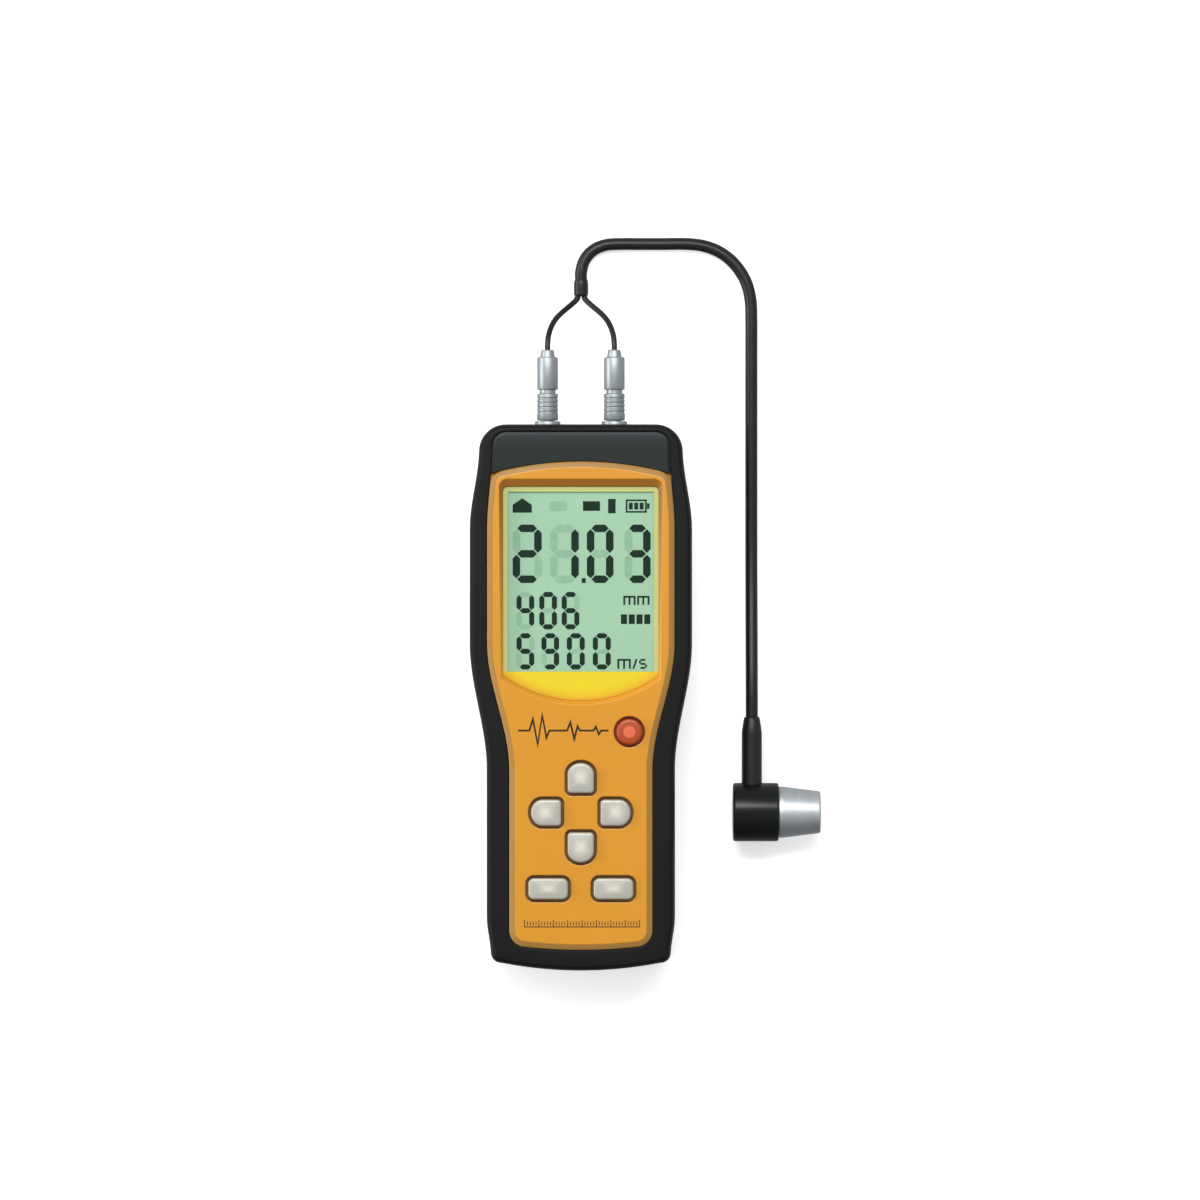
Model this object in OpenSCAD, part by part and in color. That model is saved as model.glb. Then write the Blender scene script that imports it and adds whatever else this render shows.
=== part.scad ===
// Hand-held ultrasonic thickness gauge with a twin-lead probe, lying on its back.
// The face looks up (+Z), the sockets point along +Y, and the rest plane is Z = 0.

/* [Boot] */
// Overall length of the rubber boot
boot_length = 182.8; // [180:0.1:186]
// Width across the display
belly_width = 74.4; // [73.5:0.1:76]
// Width across the grip
grip_width = 63; // [62:0.1:64]
// Width across the top end
top_width = 68.2; // [67.5:0.1:70]
// Width across the foot
foot_width = 60.2; // [59.5:0.1:61]
// Thickness of the rubber
boot_wall = 2.2; // [1.8:0.1:2.6]
// Depth of the lip that wraps round the back
back_lip = 8; // [7:0.1:9]
// Bow of the foot's edge
foot_bow = 2.6; // [1:0.1:4]

/* [Face] */
// Boot beside the face at the display
belly_rim = 5.9; // [5.4:0.1:6.4]
// Boot beside the face at the grip
grip_rim = 7.6; // [7.1:0.1:8.1]
// Boot beside the dark end panel
top_rim = 4.6; // [4.2:0.1:5]
// Distance from the foot of the face to the foot of the boot
face_foot = 7.1; // [6.4:0.1:8]
// Width of the bevelled rim of the face
rim_width = 2.3; // [1.5:0.1:2.8]
// Height of the face above the boot's front lip
face_stand = 0.8; // [0.4:0.1:1.2]
// Distance from the top of the boot to the arched top edge of the orange face
arch_gap = 12.5; // [11.5:0.1:13.5]
// Drop of that arch at its two ends
arch_drop = 4.4; // [3:0.1:6]

/* [Case] */
// Wall of the plastic case
case_wall = 2; // [1.6:0.1:2.2]
// Gap between the case and its boot
boot_gap = 0.15; // [0.1:0.05:0.3]
// Height of the seam between the two half cases
split_z = 17; // [14:0.5:18]
// Diameter of the screw posts
post_d = 5.6; // [5.4:0.1:5.8]
// Shank diameter of the case screws
case_screw_d = 2.4; // [2:0.1:2.6]
// Head diameter of the case screws
case_screw_head_d = 4.2; // [4:0.1:4.4]

/* [Display] */
// Boot and face beside the window
window_gap = 11.2; // [10.7:0.1:11.7]
// Distance from the arch down to the window
window_drop = 8.4; // [7.9:0.1:8.9]
// Lowest point of the window's curved edge
window_low = -1; // [-2:0.1:1]
// Height at which the curved edge meets the sides
window_side = 7.4; // [6:0.1:8]
// Border beside the visible LCD area
view_border = 1.6; // [1.5:0.1:2.2]
// Border above the visible LCD area
view_drop = 1.7; // [1.3:0.1:2.4]
// Bottom of the visible LCD area
view_low = 8.7; // [8.5:0.1:10]
// Depth of the window below the face
recess_depth = 1.2; // [0.8:0.1:1.6]
// Thickness of the window
window_thick = 0.8; // [0.6:0.1:1.2]
// Thickness of the LCD's glass sandwich
glass_thick = 2.4; // [2:0.1:3]
// Thickness of the backlight
backlight_thick = 2.3; // [2:0.1:3]

/* [Keys] */
// Width of an arrow key
arrow_w = 8.9; // [8.5:0.1:9]
// Length of an arrow key
arrow_l = 10.2; // [9.8:0.1:10.6]
// Distance of the arrow keys from the middle of the pad
pad_reach = 11.6; // [11.4:0.1:12.2]
// Distance from the boot's foot to the middle of the arrow pad
pad_rise = 53; // [52.5:0.1:53.5]
// Width of a function key
function_w = 13.4; // [12.8:0.1:14.2]
// Height of a function key
function_h = 7.2; // [6.8:0.1:7.8]
// Distance of the function keys from the middle
function_x = 10.9; // [10.4:0.1:11.2]
// Distance from the boot's foot to the function keys
function_rise = 27.6; // [26.5:0.1:28.5]
// Diameter of the power key
power_d = 8.6; // [8:0.1:9]
// Distance of the power key from the middle
power_x = 16.2; // [15.5:0.1:16.4]
// Height of the power key on the face
power_y = -11.4; // [-12:0.1:-11]
// Height of the keys above the face
key_stand = 1.6; // [1.2:0.1:2]
// Travel of a pressed key
key_travel = 0.8; // [0.5:0.1:1]
// Gap round a key
key_gap = 0.9; // [0.6:0.1:0.9]

/* [Board] */
// Thickness of the main board
board_thick = 1.6; // [1.2:0.1:2]
// Thickness of the keypad mat
mat_thick = 1.2; // [1:0.1:1.4]
// Shank diameter of the board screws
board_screw_d = 1.8; // [1.6:0.1:2]

/* [Battery bay] */
// Diameter of a cell
cell_d = 14.2; // [13.8:0.1:14.5]
// Length of a cell with its button
cell_l = 50.4; // [49.5:0.1:50.5]
// Length of a compressed cell spring
spring_l = 5; // [4:0.1:5.5]
// Room round a cell
cell_gap = 0.3; // [0.2:0.05:0.4]
// Thickness of the battery door
door_thick = 2; // [1.8:0.1:2.4]
// Running gap of the battery door
door_gap = 0.25; // [0.2:0.05:0.35]

/* [Sockets and plugs] */
// Distance of each socket from the middle
socket_x = 11.2; // [10:0.1:12]
// Height of the sockets above the table
socket_z = 16; // [15:0.1:17]
// Diameter of a socket's flange
socket_d = 8.6; // [8.4:0.1:9]
// Diameter of a socket's threaded barrel
barrel_d = 7.6; // [7.2:0.1:8]
// Bore of a socket
socket_bore = 5.2; // [5:0.1:5.6]
// Running gap between plug and socket
plug_gap = 0.2; // [0.1:0.05:0.3]
// Outer diameter of a plug
plug_d = 7; // [6.8:0.1:7.4]
// Reach of a plug's nose into the socket
plug_reach = 8.6; // [7:0.1:9]
// Length of a plug's sliding sleeve
sleeve_l = 9; // [8.8:0.1:9.6]
// Travel of the sleeve
sleeve_travel = 1; // [0.8:0.1:1.2]

/* [Lead and probe] */
// Diameter of the two thin leads
lead_d = 1.9; // [1.7:0.1:2]
// Diameter of the probe cord
cord_d = 4.1; // [3.8:0.1:4.4]
// Diameter of the collar that joins the leads
collar_d = 4.8; // [4.7:0.1:5.2]
// Diameter of the probe body
probe_d = 19.7; // [18:0.1:19.7]
// Length of the probe body
probe_l = 15.4; // [14:0.1:17]
// Length of the silver nose
nose_l = 14.1; // [12:0.1:16]
// Diameter of the nose at the body
nose_d = 17.3; // [16:0.1:17.4]
// Diameter of the nose at its contact face
nose_tip_d = 14; // [13.5:0.1:15]
// Diameter of the delay blocks in the nose
delay_d = 11; // [10:0.1:11.4]
// Thickness of the sound barrier
barrier_thick = 0.6; // [0.4:0.1:1]

/* [Hidden] */
$fn = 48;

// Clearances
loose = 0.15;
slip = 0.1;
overcut = 1;

// Stack of layers from the table up to the keys
inner = boot_wall + boot_gap;
case_back = inner;
door_top = case_back + door_thick;
cell_z = door_top + door_gap + cell_gap + cell_d / 2;
bay_roof_z = cell_z + cell_d / 2 + cell_gap;
bay_roof = 1;
bay_top = bay_roof_z + bay_roof;
board_head_h = 1.2;
board_head_room = 0.3;
board_z = bay_top + board_head_h + board_head_room;
board_top = board_z + board_thick;
glass_z = board_top + backlight_thick;
ledge_z = glass_z + glass_thick + slip;
ledge_thick = 0.6;
film_thick = 0.2;
film_z = ledge_z + ledge_thick;
window_z = film_z + film_thick;
pocket_z = window_z + window_thick;
face_z = pocket_z + recess_depth;
lip_z = face_z - face_stand;
lip_thick = 1.8;
lip_under = lip_z - lip_thick;
shoulder_z = lip_under - boot_gap;
key_top = face_z + key_stand;
flange_h = 1.1;
flange_reach = 1.4;
flange_z = ledge_z - slip - flange_h;
dome_h = 0.3;
stem_z = board_top + mat_thick + dome_h + slip + key_travel;
stem_d = 4.6;
crown_r = 45;
panel_drop = 0.5;

// Plan of the boot and the face
half_l = boot_length / 2;
boot_w = [top_width, belly_width, grip_width, foot_width] / 2;
face_top = top_width - 2 * top_rim;
face_belly = belly_width - 2 * belly_rim;
face_grip = grip_width - 2 * grip_rim;
face_w = [face_top, face_belly, face_grip, face_grip] / 2;
face_high = half_l - inner - 0.4;
face_low = face_foot - half_l;
shoulder_y = half_l - 8;
belly_high = half_l - 35;
belly_low = 18;
waist_low = -24;
foot_start = 18 - half_l;
foot_end = 5 - half_l;
boot_top_r = 9;
boot_foot_r = 3.4;
face_top_r = 4.5;
face_foot_r = 5.5;
face_bow = 1;
least_r = 0.8;
foot_steps = 4;
corner_steps = 5;
side_steps = 20;

// Circle that parts the orange face from the dark end panel
arch_y = half_l - arch_gap;
arch_r = (pow(face_belly / 2, 2) + pow(arch_drop, 2)) / (2 * arch_drop);
cap_y = half_l - inner;
cap_wall = 2.5;

// Window, LCD area and keys on the face
window_w = belly_width - 2 * window_gap;
window_top = arch_y - window_drop;
view_w = window_w - 2 * view_border;
view_top = window_top - view_drop;
pad_y = pad_rise - half_l;
function_y = function_rise - half_l;

// Battery bay
contact_thick = 0.4;
cell_x = (cell_d + cell_gap) / 2;
bay_half = cell_d + 1.5 * cell_gap;
bay_wall = 2.6;
bay_end_wall = 1;
bay_l = cell_l + spring_l + 2 * contact_thick + loose;
bay_low = inner + case_wall + 3 - half_l;
bay_high = bay_low + bay_l;
tongue = 1.2;
tongue_h = 0.9;
button_l = 1.2;
button_d = 5.5;
wire_d = 0.9;

// Case screws and board screws
post_places = [
    [belly_width / 2 - 7.7, window_top - 8.5], [belly_width / 2 - 7.7, window_side + 6.6],
    [grip_width / 2 - 8.3, 12 - half_l]
];
screw_bite = 6.6;
board_bite = 3.6;
case_head_h = 1.5;
case_head_depth = 3;
boss_top = shoulder_z - case_wall + 0.5;
board_belly = view_w / 2 + 1.8;
board_grip = face_grip / 2 - 4.5;
board_low = 13 - half_l;
board_high = window_top + 2.5;
board_waist = window_low - 4;
board_screw_x = board_grip - 2.6;
board_places = [
    [board_belly - 3.7, board_waist + 5.3],
    [board_screw_x, (power_y - power_d / 2 + pad_y + arrow_w / 2) / 2],
    [board_screw_x, (pad_y - arrow_w / 2 + function_y + function_h / 2) / 2]
];
boss_d = 5;
board_head_d = 3.6;

// LCD
glass_half = view_w / 2 + 1;
glass_low = view_low - 3.2;
glass_high = view_top + 2;
strip_w = 1.4;
frame_sheet = 0.35;

// Sockets and plugs
flange_out = boot_wall + boot_gap + 1.2;
socket_y = cap_y + flange_out;
bore_depth = 10;
barrel_l = 10.6;
plug_y = socket_y + 0.3;
core_d = plug_d - 1.6;
nut_y = plug_y + sleeve_l + sleeve_travel + 0.3;
nut_l = 11;
nut_end = nut_y + nut_l;
tip_l = 2.4;
spigot_l = 4.2;
lead_bore = lead_d + 0.24;

// Collar
collar_y = nut_end + 20.9;
collar_l = 5.7;
collar_bore_l = 3.2;
collar_bore_x = 1.15;
collar_bore = lead_d + 0.2;

// Probe
relief_x = 57.5;
relief_y = -6.7;
relief_d = 6.8;
relief_tip_d = 5.2;
relief_taper = 5;
probe_x = 51.1;
probe_y = -38.8;
probe_z = probe_d / 2;
relief_seat = 3;
spigot_d = 13.8;
nose_seat = 3.1;
delay_seat = 1.4;
crystal_thick = 0.6;
backing_l = 8;

// Routes of the leads and the cord, as points along their middle line
lead_places = [
    [socket_x, -2, socket_z], [socket_x, 1.2, socket_z], [socket_x, 4.2, socket_z - 0.2],
    [10.9, 7.2, 14.8], [10, 10.2, 12.8], [8.6, 12.8, 10.2], [6.7, 15, 7.4], [4.6, 16.9, 5],
    [2.9, 18.4, 3.5], [1.7, 19.6, 2.75], [collar_bore_x, 20.6, collar_d / 2],
    [collar_bore_x, 21.8, collar_d / 2], [collar_bore_x, 23.8, collar_d / 2]
];
lead_route = [for (p = lead_places) p + [0, nut_end, 0]];
// Each cord point gives X, Y and the height of the cord's underside above the table
cord_y = collar_y + collar_l;
cord_bend = [
    [0, 0, 0.35], [0, 2.6, 0.35], [1.2, 6.6, 0.2], [4, 9.8, 0.1], [8, 11.6, 0], [12.5, 12, 0], [20, 12, 0],
    [28, 12, 0], [36, 12, 0], [42, 11.2, 0], [47.6, 8.8, 0], [52.2, 4.8, 0], [55.6, -0.6, 0],
    [57.2, -6.8, 0], [relief_x, -14.4, 0]
];
cord_rise = [
    [relief_x, 54, 0.1], [relief_x, 45, 0.6], [relief_x, 36, 1.6], [relief_x, 27, 3.1],
    [relief_x, 18, 4.9], [relief_x, 9, 6.6], [relief_x, 1, 7.6], [relief_x, relief_y, 7.8]
];
run_from = cord_y + cord_bend[len(cord_bend) - 1][1];
run_to = cord_rise[0][1];
run_steps = 8;
cord_route = concat(
    [for (p = cord_bend) p + [0, cord_y, 0]],
    [for (i = [1:run_steps - 1]) [relief_x, run_from + (run_to - run_from) * i / run_steps, 0]],
    cord_rise
);
lead_sides = 8;
cord_sides = 12;

function smooth(t) = let (c = max(0, min(1, t))) c * c * (3 - 2 * c);
function blend(a, b, t) = a + (b - a) * smooth(t);

// Half width at height y, for half widths w at the top, belly, grip and foot
function side_x(y, w) =
    y > belly_high ? blend(w[1], w[0], (y - belly_high) / (shoulder_y - belly_high))
    : y > foot_start ? blend(w[1], w[2], (belly_low - y) / (belly_low - waist_low))
    : blend(w[2], w[3], (foot_start - y) / (foot_start - foot_end));

function arc(c, r, from, to, steps) =
    [for (i = [0:steps]) let (a = from + (to - from) * i / steps) c + r * [cos(a), sin(a)]];

function mirrored(points) = [for (i = [len(points) - 1:-1:0]) [-points[i][0], points[i][1]]];

// Closed plan of the gauge, wide at the display and slim at the grip
function outline(w, high, low, high_r, low_r, bow) =
    let (low_c = [side_x(low + bow + low_r, w) - low_r, low + bow + low_r])
    let (high_c = [side_x(high - high_r, w) - high_r, high - high_r])
    let (edge = [for (i = [1:foot_steps - 1]) low_c[0] * i / foot_steps])
    let (step = (high_c[1] - low_c[1]) / side_steps)
    let (sides = [for (i = [1:side_steps - 1]) low_c[1] + step * i])
    let (half = concat(
        [for (x = edge) [x, low + bow * pow(x / low_c[0], 2)]],
        arc(low_c, low_r, -90, 0, corner_steps),
        [for (y = sides) [side_x(y, w), y]],
        arc(high_c, high_r, 0, 90, corner_steps)
    ))
    concat([[0, low]], half, [[0, high]], mirrored(half));

function boot_ring(inset) = outline(
    boot_w - inset * [1, 1, 1, 1], half_l - inset, inset - half_l,
    max(boot_top_r - inset, least_r), max(boot_foot_r - inset, least_r), foot_bow
);

function face_ring(inset) = outline(
    face_w - inset * [1, 1, 1, 1], face_high - inset, face_low + inset,
    max(face_top_r - inset, least_r), max(face_foot_r - inset, least_r), face_bow
);

function raised(ring, z) = [for (p = ring) [p[0], p[1], z]];

// Faces between ring j and ring k of n points each
function band(j, k, n) = [
    for (i = [0:n - 1]) let (m = (i + 1) % n)
    each [[j * n + i, k * n + i, k * n + m], [j * n + i, k * n + m, j * n + m]]
];

function flat(lists) = [for (l = lists) each l];

// Solid through a pile of rings, closed at both ends
module loft(rings) {
    n = len(rings[0]);
    m = len(rings);
    walls = flat([for (j = [0:m - 2]) band(j, j + 1, n)]);
    ends = [[for (i = [0:n - 1]) i], [for (i = [n - 1:-1:0]) (m - 1) * n + i]];
    polyhedron(flat(rings), concat(walls, ends));
}

// Solid through rings that come back to the first one
module loop_loft(rings) {
    n = len(rings[0]);
    m = len(rings);
    polyhedron(flat(rings), flat([for (j = [0:m - 1]) band(j, (j + 1) % m, n)]));
}

function unit(v) = v / norm(v);

// Round section across a route at its point i
function tube_ring(route, i, d, sides) =
    let (a = route[max(i - 1, 0)], b = route[min(i + 1, len(route) - 1)])
    let (along = unit(b - a))
    let (across = unit(cross(along, [0, 0, 1])))
    let (up = cross(across, along))
    [for (s = [0:sides - 1]) let (t = -360 * s / sides)
        route[i] + d / 2 * (across * cos(t) + up * sin(t))];

module tube(route, d, sides) {
    loft([for (i = [0:len(route) - 1]) tube_ring(route, i, d, sides)]);
}

// Place children with their Z axis along +Y
module along_y(place) {
    translate(place) rotate([-90, 0, 0]) children();
}

// Place children with their Z axis along +X
module along_x(place) {
    translate(place) rotate([0, 90, 0]) children();
}

module both_sides() {
    for (side = [-1, 1]) scale_x(side) children();
}

module scale_x(side) {
    mirror([side < 0 ? 1 : 0, 0, 0]) children();
}

// Box given by its two corners
module box(low, high) {
    translate(low) cube(high - low);
}

// Slab of a plan between two heights
module slab(points, low, high) {
    translate([0, 0, low]) linear_extrude(high - low) polygon(points);
}

// Outside of the two half cases and the end cap together, planed flat at its back and face
module housing() {
    spare = 0.4;
    room = [belly_width, boot_length, 5];
    difference() {
        loft([
            raised(boot_ring(inner + 1.6 + spare), case_back - spare),
            raised(boot_ring(inner), case_back + 2.4),
            raised(boot_ring(inner), shoulder_z),
            raised(face_ring(0), shoulder_z),
            raised(face_ring(0), lip_z),
            raised(face_ring(rim_width), face_z),
            raised(face_ring(rim_width + spare), face_z + spare)
        ]);
        translate([-room[0] / 2, -room[1] / 2, face_z]) cube(room);
        translate([-room[0] / 2, -room[1] / 2, case_back - room[2]]) cube(room);
    }
}

// Large disc whose edge is the arch between the face and the end panel
module arch_disc(grow, low, high, rim) {
    r = arch_r + grow;
    translate([0, arch_y - arch_r, 0]) rotate_extrude($fn = 180)
        polygon([[0, low], [r, low], [r, min(lip_z, high)], [r - rim, high], [0, high]]);
}

// Hollow of the housing under the face
module front_hollow(wall) {
    slab(boot_ring(inner + wall), split_z - overcut, shoulder_z - case_wall);
    slab(face_ring(case_wall), split_z, ledge_z);
}

module at_posts() {
    both_sides() for (p = post_places) translate(p) children();
}

module at_board_screws() {
    both_sides() for (p = board_places) translate(p) children();
}

module at_sockets(y) {
    both_sides() along_y([socket_x, y, socket_z]) children();
}

// Plan of the window, straight at the sides and top, curved at its lower edge
function window_points(grow, lift = 0) =
    let (half = window_w / 2, sag = window_side - window_low)
    let (r = (half * half + sag * sag) / (2 * sag))
    let (sweep = asin(half / r), top_r = 1.5)
    let (corner = [half - top_r, window_top + lift - top_r])
    concat(
        arc([0, window_low + r], r + grow, -90 - sweep, -90 + sweep, 16),
        arc(corner, top_r + grow, 0, 90, 4),
        mirrored(arc(corner, top_r + grow, 0, 90, 4))
    );

function rounded_points(w, h, r) =
    let (x = w / 2 - r, y = h / 2 - r)
    concat(
        arc([x, y], r, 0, 90, 4), arc([-x, y], r, 90, 180, 4),
        arc([-x, -y], r, 180, 270, 4), arc([x, -y], r, 270, 360, 4)
    );

// Arrow key seen from above, its arched end pointing along +Y
function arrow_points(grow) =
    let (half = arrow_w / 2, rise = 3.8, r = 1.3, x = half - r, y = r - arrow_l / 2)
    concat(
        [for (a = [0:20:180]) [(half + grow) * cos(a), arrow_l / 2 - rise + (rise + grow) * sin(a)]],
        arc([-x, y], r + grow, 180, 270, 4), arc([x, y], r + grow, 270, 360, 4)
    );

function function_points(grow) = rounded_points(function_w + 2 * grow, function_h + 2 * grow, 2 + grow);

function power_points(grow) = arc([0, 0], power_d / 2 + grow, 0, 345, 23);

module at_arrow(turn) {
    translate([0, pad_y, 0]) rotate(turn) translate([0, pad_reach, 0]) children();
}

module at_function(side) {
    translate([side * function_x, function_y, 0]) children();
}

module at_power() {
    translate([power_x, power_y, 0]) children();
}

// Key with a crowned top, a flange that keeps it in the case and a stem to the mat
module key(shape, flange) {
    intersection() {
        slab(shape, flange_z, key_top + overcut);
        translate([0, 0, key_top - crown_r]) sphere(crown_r, $fn = 96);
    }
    slab(flange, flange_z, flange_z + flange_h);
    translate([0, 0, stem_z]) cylinder(d = stem_d, h = flange_z - stem_z + slip);
}

module at_keys() {
    for (turn = [0:90:270]) at_arrow(turn) children();
    for (side = [-1, 1]) at_function(side) children();
    at_power() children();
}

module key_holes() {
    for (turn = [0:90:270]) at_arrow(turn) slab(arrow_points(key_gap), ledge_z - overcut, face_z + overcut);
    for (side = [-1, 1]) at_function(side)
        slab(function_points(key_gap), ledge_z - overcut, face_z + overcut);
    at_power() translate([0, 0, ledge_z - overcut]) cylinder(d = power_d + 2 * key_gap, h = 6);
}

module rubber_boot() {
    notch = bay_half + tongue + 0.6;
    color("#17181b") difference() {
        loop_loft([
            raised(boot_ring(3.6), -0.5), raised(boot_ring(1.4), 1.2), raised(boot_ring(0.3), 3.4),
            raised(boot_ring(0), 6), raised(boot_ring(0), lip_z - 5),
            raised(boot_ring(0.25), lip_z - 2.2), raised(boot_ring(0.8), lip_z - 0.6),
            raised(boot_ring(1.4), lip_z), raised(face_ring(-boot_gap), lip_z),
            raised(face_ring(-boot_gap), lip_under), raised(boot_ring(boot_wall), lip_under),
            raised(boot_ring(boot_wall), boot_wall), raised(boot_ring(back_lip), boot_wall),
            raised(boot_ring(back_lip), -0.5)
        ]);
        box([-belly_width, -boot_length, -2], [belly_width, boot_length, 0]);
        box([-notch, -half_l - 1, -1], [notch, back_lip - half_l + 1, door_top + 0.5]);
        at_sockets(cap_y - 1) cylinder(d = socket_d + 0.7, h = 5);
    }
}

module front_case() {
    pilot = board_screw_d + 0.2;
    color("#e4a02d") difference() {
        union() {
            difference() {
                intersection() {
                    housing();
                    arch_disc(0, split_z, face_z + slip, rim_width);
                }
                front_hollow(case_wall);
            }
            at_posts() translate([0, 0, split_z]) cylinder(d = post_d, h = boss_top - split_z);
            at_board_screws() translate([0, 0, board_top])
                cylinder(d = boss_d, h = ledge_z - board_top + slip);
        }
        slab(window_points(loose), film_z, pocket_z);
        loft([
            raised(window_points(loose), pocket_z - slip / 2),
            raised(window_points(1.4, 1.5), face_z + slip)
        ]);
        translate([0, (view_top + view_low) / 2, 0])
            slab(rounded_points(view_w + 1, view_top - view_low + 1, 1), ledge_z - overcut, film_z + slip);
        key_holes();
        at_posts() translate([0, 0, split_z - 1]) cylinder(d = case_screw_d + 0.2, h = screw_bite + 1.8);
        at_board_screws() translate([0, 0, board_top - 1]) cylinder(d = pilot, h = board_bite + 1.4);
    }
}

module rear_case() {
    groove = bay_half + tongue + door_gap;
    color("#1d1f22") difference() {
        union() {
            difference() {
                intersection() {
                    housing();
                    arch_disc(0, 0, split_z, 0);
                }
                slab(boot_ring(inner + case_wall), case_back + case_wall, split_z + overcut);
            }
            box([-bay_half - bay_wall, inner + case_wall - 0.6 - half_l, case_back + slip],
                [bay_half + bay_wall, bay_high + bay_wall, split_z]);
            box([-bay_half - bay_wall, bay_low - bay_end_wall, split_z - slip],
                [bay_half + bay_wall, bay_high + bay_wall, bay_top]);
            at_posts() translate([0, 0, case_back]) cylinder(d = post_d, h = split_z - case_back);
        }
        box([-bay_half, bay_low, door_top], [bay_half, bay_high, bay_roof_z]);
        box([-groove, -boot_length, door_top - tongue_h - door_gap],
            [groove, bay_high + door_gap, door_top + door_gap]);
        box([-bay_half - door_gap, -boot_length, 0], [bay_half + door_gap, bay_high + door_gap, door_top]);
        at_posts() {
            translate([0, 0, case_back - 1]) cylinder(d = case_screw_head_d + 0.4, h = case_head_depth + 1);
            cylinder(d = case_screw_d + 0.4, h = split_z + 1);
        }
    }
}

module connector_cap() {
    color("#39434a") difference() {
        housing();
        arch_disc(boot_gap, 0, face_z + overcut, 0);
        box([-belly_width, 0, face_z - panel_drop], [belly_width, boot_length, face_z + overcut]);
        slab(boot_ring(inner + cap_wall), case_back + case_wall, shoulder_z - case_wall);
        slab(face_ring(case_wall), split_z, ledge_z);
        at_sockets(cap_y - 2 * cap_wall) cylinder(d = barrel_d + 0.3, h = 3 * cap_wall);
    }
}

module display_window() {
    color("#dfeee4", 0.35) slab(window_points(0), window_z, pocket_z);
}

module window_mask() {
    color("#f6dc1c") difference() {
        slab(window_points(0), film_z, window_z);
        box([-view_w / 2, view_low, film_z - 1], [view_w / 2, view_top, window_z + 1]);
    }
}

module lcd_frame() {
    gap = slip;
    out = gap + frame_sheet;
    foot = [4, 2, frame_sheet];
    color("#b9bcc0") {
        difference() {
            box([-glass_half - out, glass_low - out, board_top],
                [glass_half + out, glass_high + out, ledge_z - slip]);
            box([-glass_half - gap, glass_low - gap, board_top - 1],
                [glass_half + gap, glass_high + gap, ledge_z]);
        }
        for (x = [-12, 8]) translate([x, glass_low - out - foot[1] + slip, board_top]) cube(foot);
        for (x = [-12, 8]) translate([x, glass_high + out - slip, board_top]) cube(foot);
    }
}

module lcd_glass() {
    back = glass_thick / 2;
    color("#a8d4ac") {
        box([-glass_half, glass_low, glass_z], [glass_half, glass_high, glass_z + back]);
        box([-glass_half, view_low - 1, glass_z + back], [glass_half, glass_high, glass_z + glass_thick]);
    }
}

module backlight() {
    color("#f4f6ee") box([-glass_half, view_low - 0.6, board_top], [glass_half, view_top + 0.2, glass_z]);
}

module contact_strips() {
    color("#e59a9a") {
        box([-glass_half + 1, glass_low + 0.3, board_top],
            [glass_half - 1, glass_low + 0.3 + strip_w, glass_z]);
        box([-glass_half + 1, glass_high - 0.2 - strip_w, board_top],
            [glass_half - 1, glass_high - 0.2, glass_z]);
    }
}

module main_board() {
    half = [
        [0, board_low], [board_grip, board_low], [board_grip, board_waist],
        [board_belly, board_waist], [board_belly, board_high], [0, board_high]
    ];
    color("#1f7a4a") difference() {
        slab(concat(half, [for (i = [4:-1:1]) [-half[i][0], half[i][1]]]), board_z, board_top);
        at_board_screws() translate([0, 0, board_z - 1])
            cylinder(d = board_screw_d + 0.3, h = board_thick + 2);
    }
}

// Parts soldered under the board: place, length, width and height of each
chips = [
    [-9, 44, 14, 14, 1.6], [10, 48, 9, 7, 1.6], [10, 34, 7, 9, 1.6], [-12, 22, 8, 6, 2],
    [6, 18, 11, 5, 3.4], [-18, 60, 6, 6, 4.5], [18, 60, 6, 6, 4.5], [-10, -12, 8, 6, 1.6]
];

module board_chips() {
    color("#26282b") for (c = chips)
        translate([c[0] - c[2] / 2, c[1] - c[3] / 2, board_z - c[4]]) cube([c[2], c[3], c[4]]);
}

module board_screws() {
    color("#c4c7cb") at_board_screws() {
        translate([0, 0, board_z - board_head_h]) cylinder(d = board_head_d, h = board_head_h);
        translate([0, 0, board_z - slip]) cylinder(d = board_screw_d, h = board_thick + board_bite);
    }
}

module case_screws() {
    seat = case_back + case_head_depth;
    color("#c4c7cb") at_posts() {
        translate([0, 0, seat - case_head_h]) cylinder(d = case_screw_head_d, h = case_head_h);
        translate([0, 0, seat - slip]) cylinder(d = case_screw_d, h = split_z + screw_bite - seat);
    }
}

module keypad_mat() {
    color("#34373b") difference() {
        union() {
            box([1 - board_grip, board_low + 6, board_top],
                [board_grip - 1, board_waist, board_top + mat_thick]);
            at_keys() translate([0, 0, board_top]) cylinder(d = stem_d + 1.4, h = mat_thick + dome_h);
        }
        at_board_screws() translate([0, 0, board_top - 1]) cylinder(d = boss_d + 0.6, h = mat_thick + 2);
    }
}

module arrow_key(turn) {
    color("#d7d4cd") at_arrow(turn) key(arrow_points(0), arrow_points(flange_reach));
}

module key_up() {
    arrow_key(0);
}

module key_left() {
    arrow_key(90);
}

module key_down() {
    arrow_key(180);
}

module key_right() {
    arrow_key(270);
}

module key_function_left() {
    color("#d7d4cd") at_function(-1) key(function_points(0), function_points(flange_reach));
}

module key_function_right() {
    color("#d7d4cd") at_function(1) key(function_points(0), function_points(flange_reach));
}

module key_power() {
    color("#c34b23") at_power() key(power_points(0), power_points(flange_reach));
}

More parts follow.
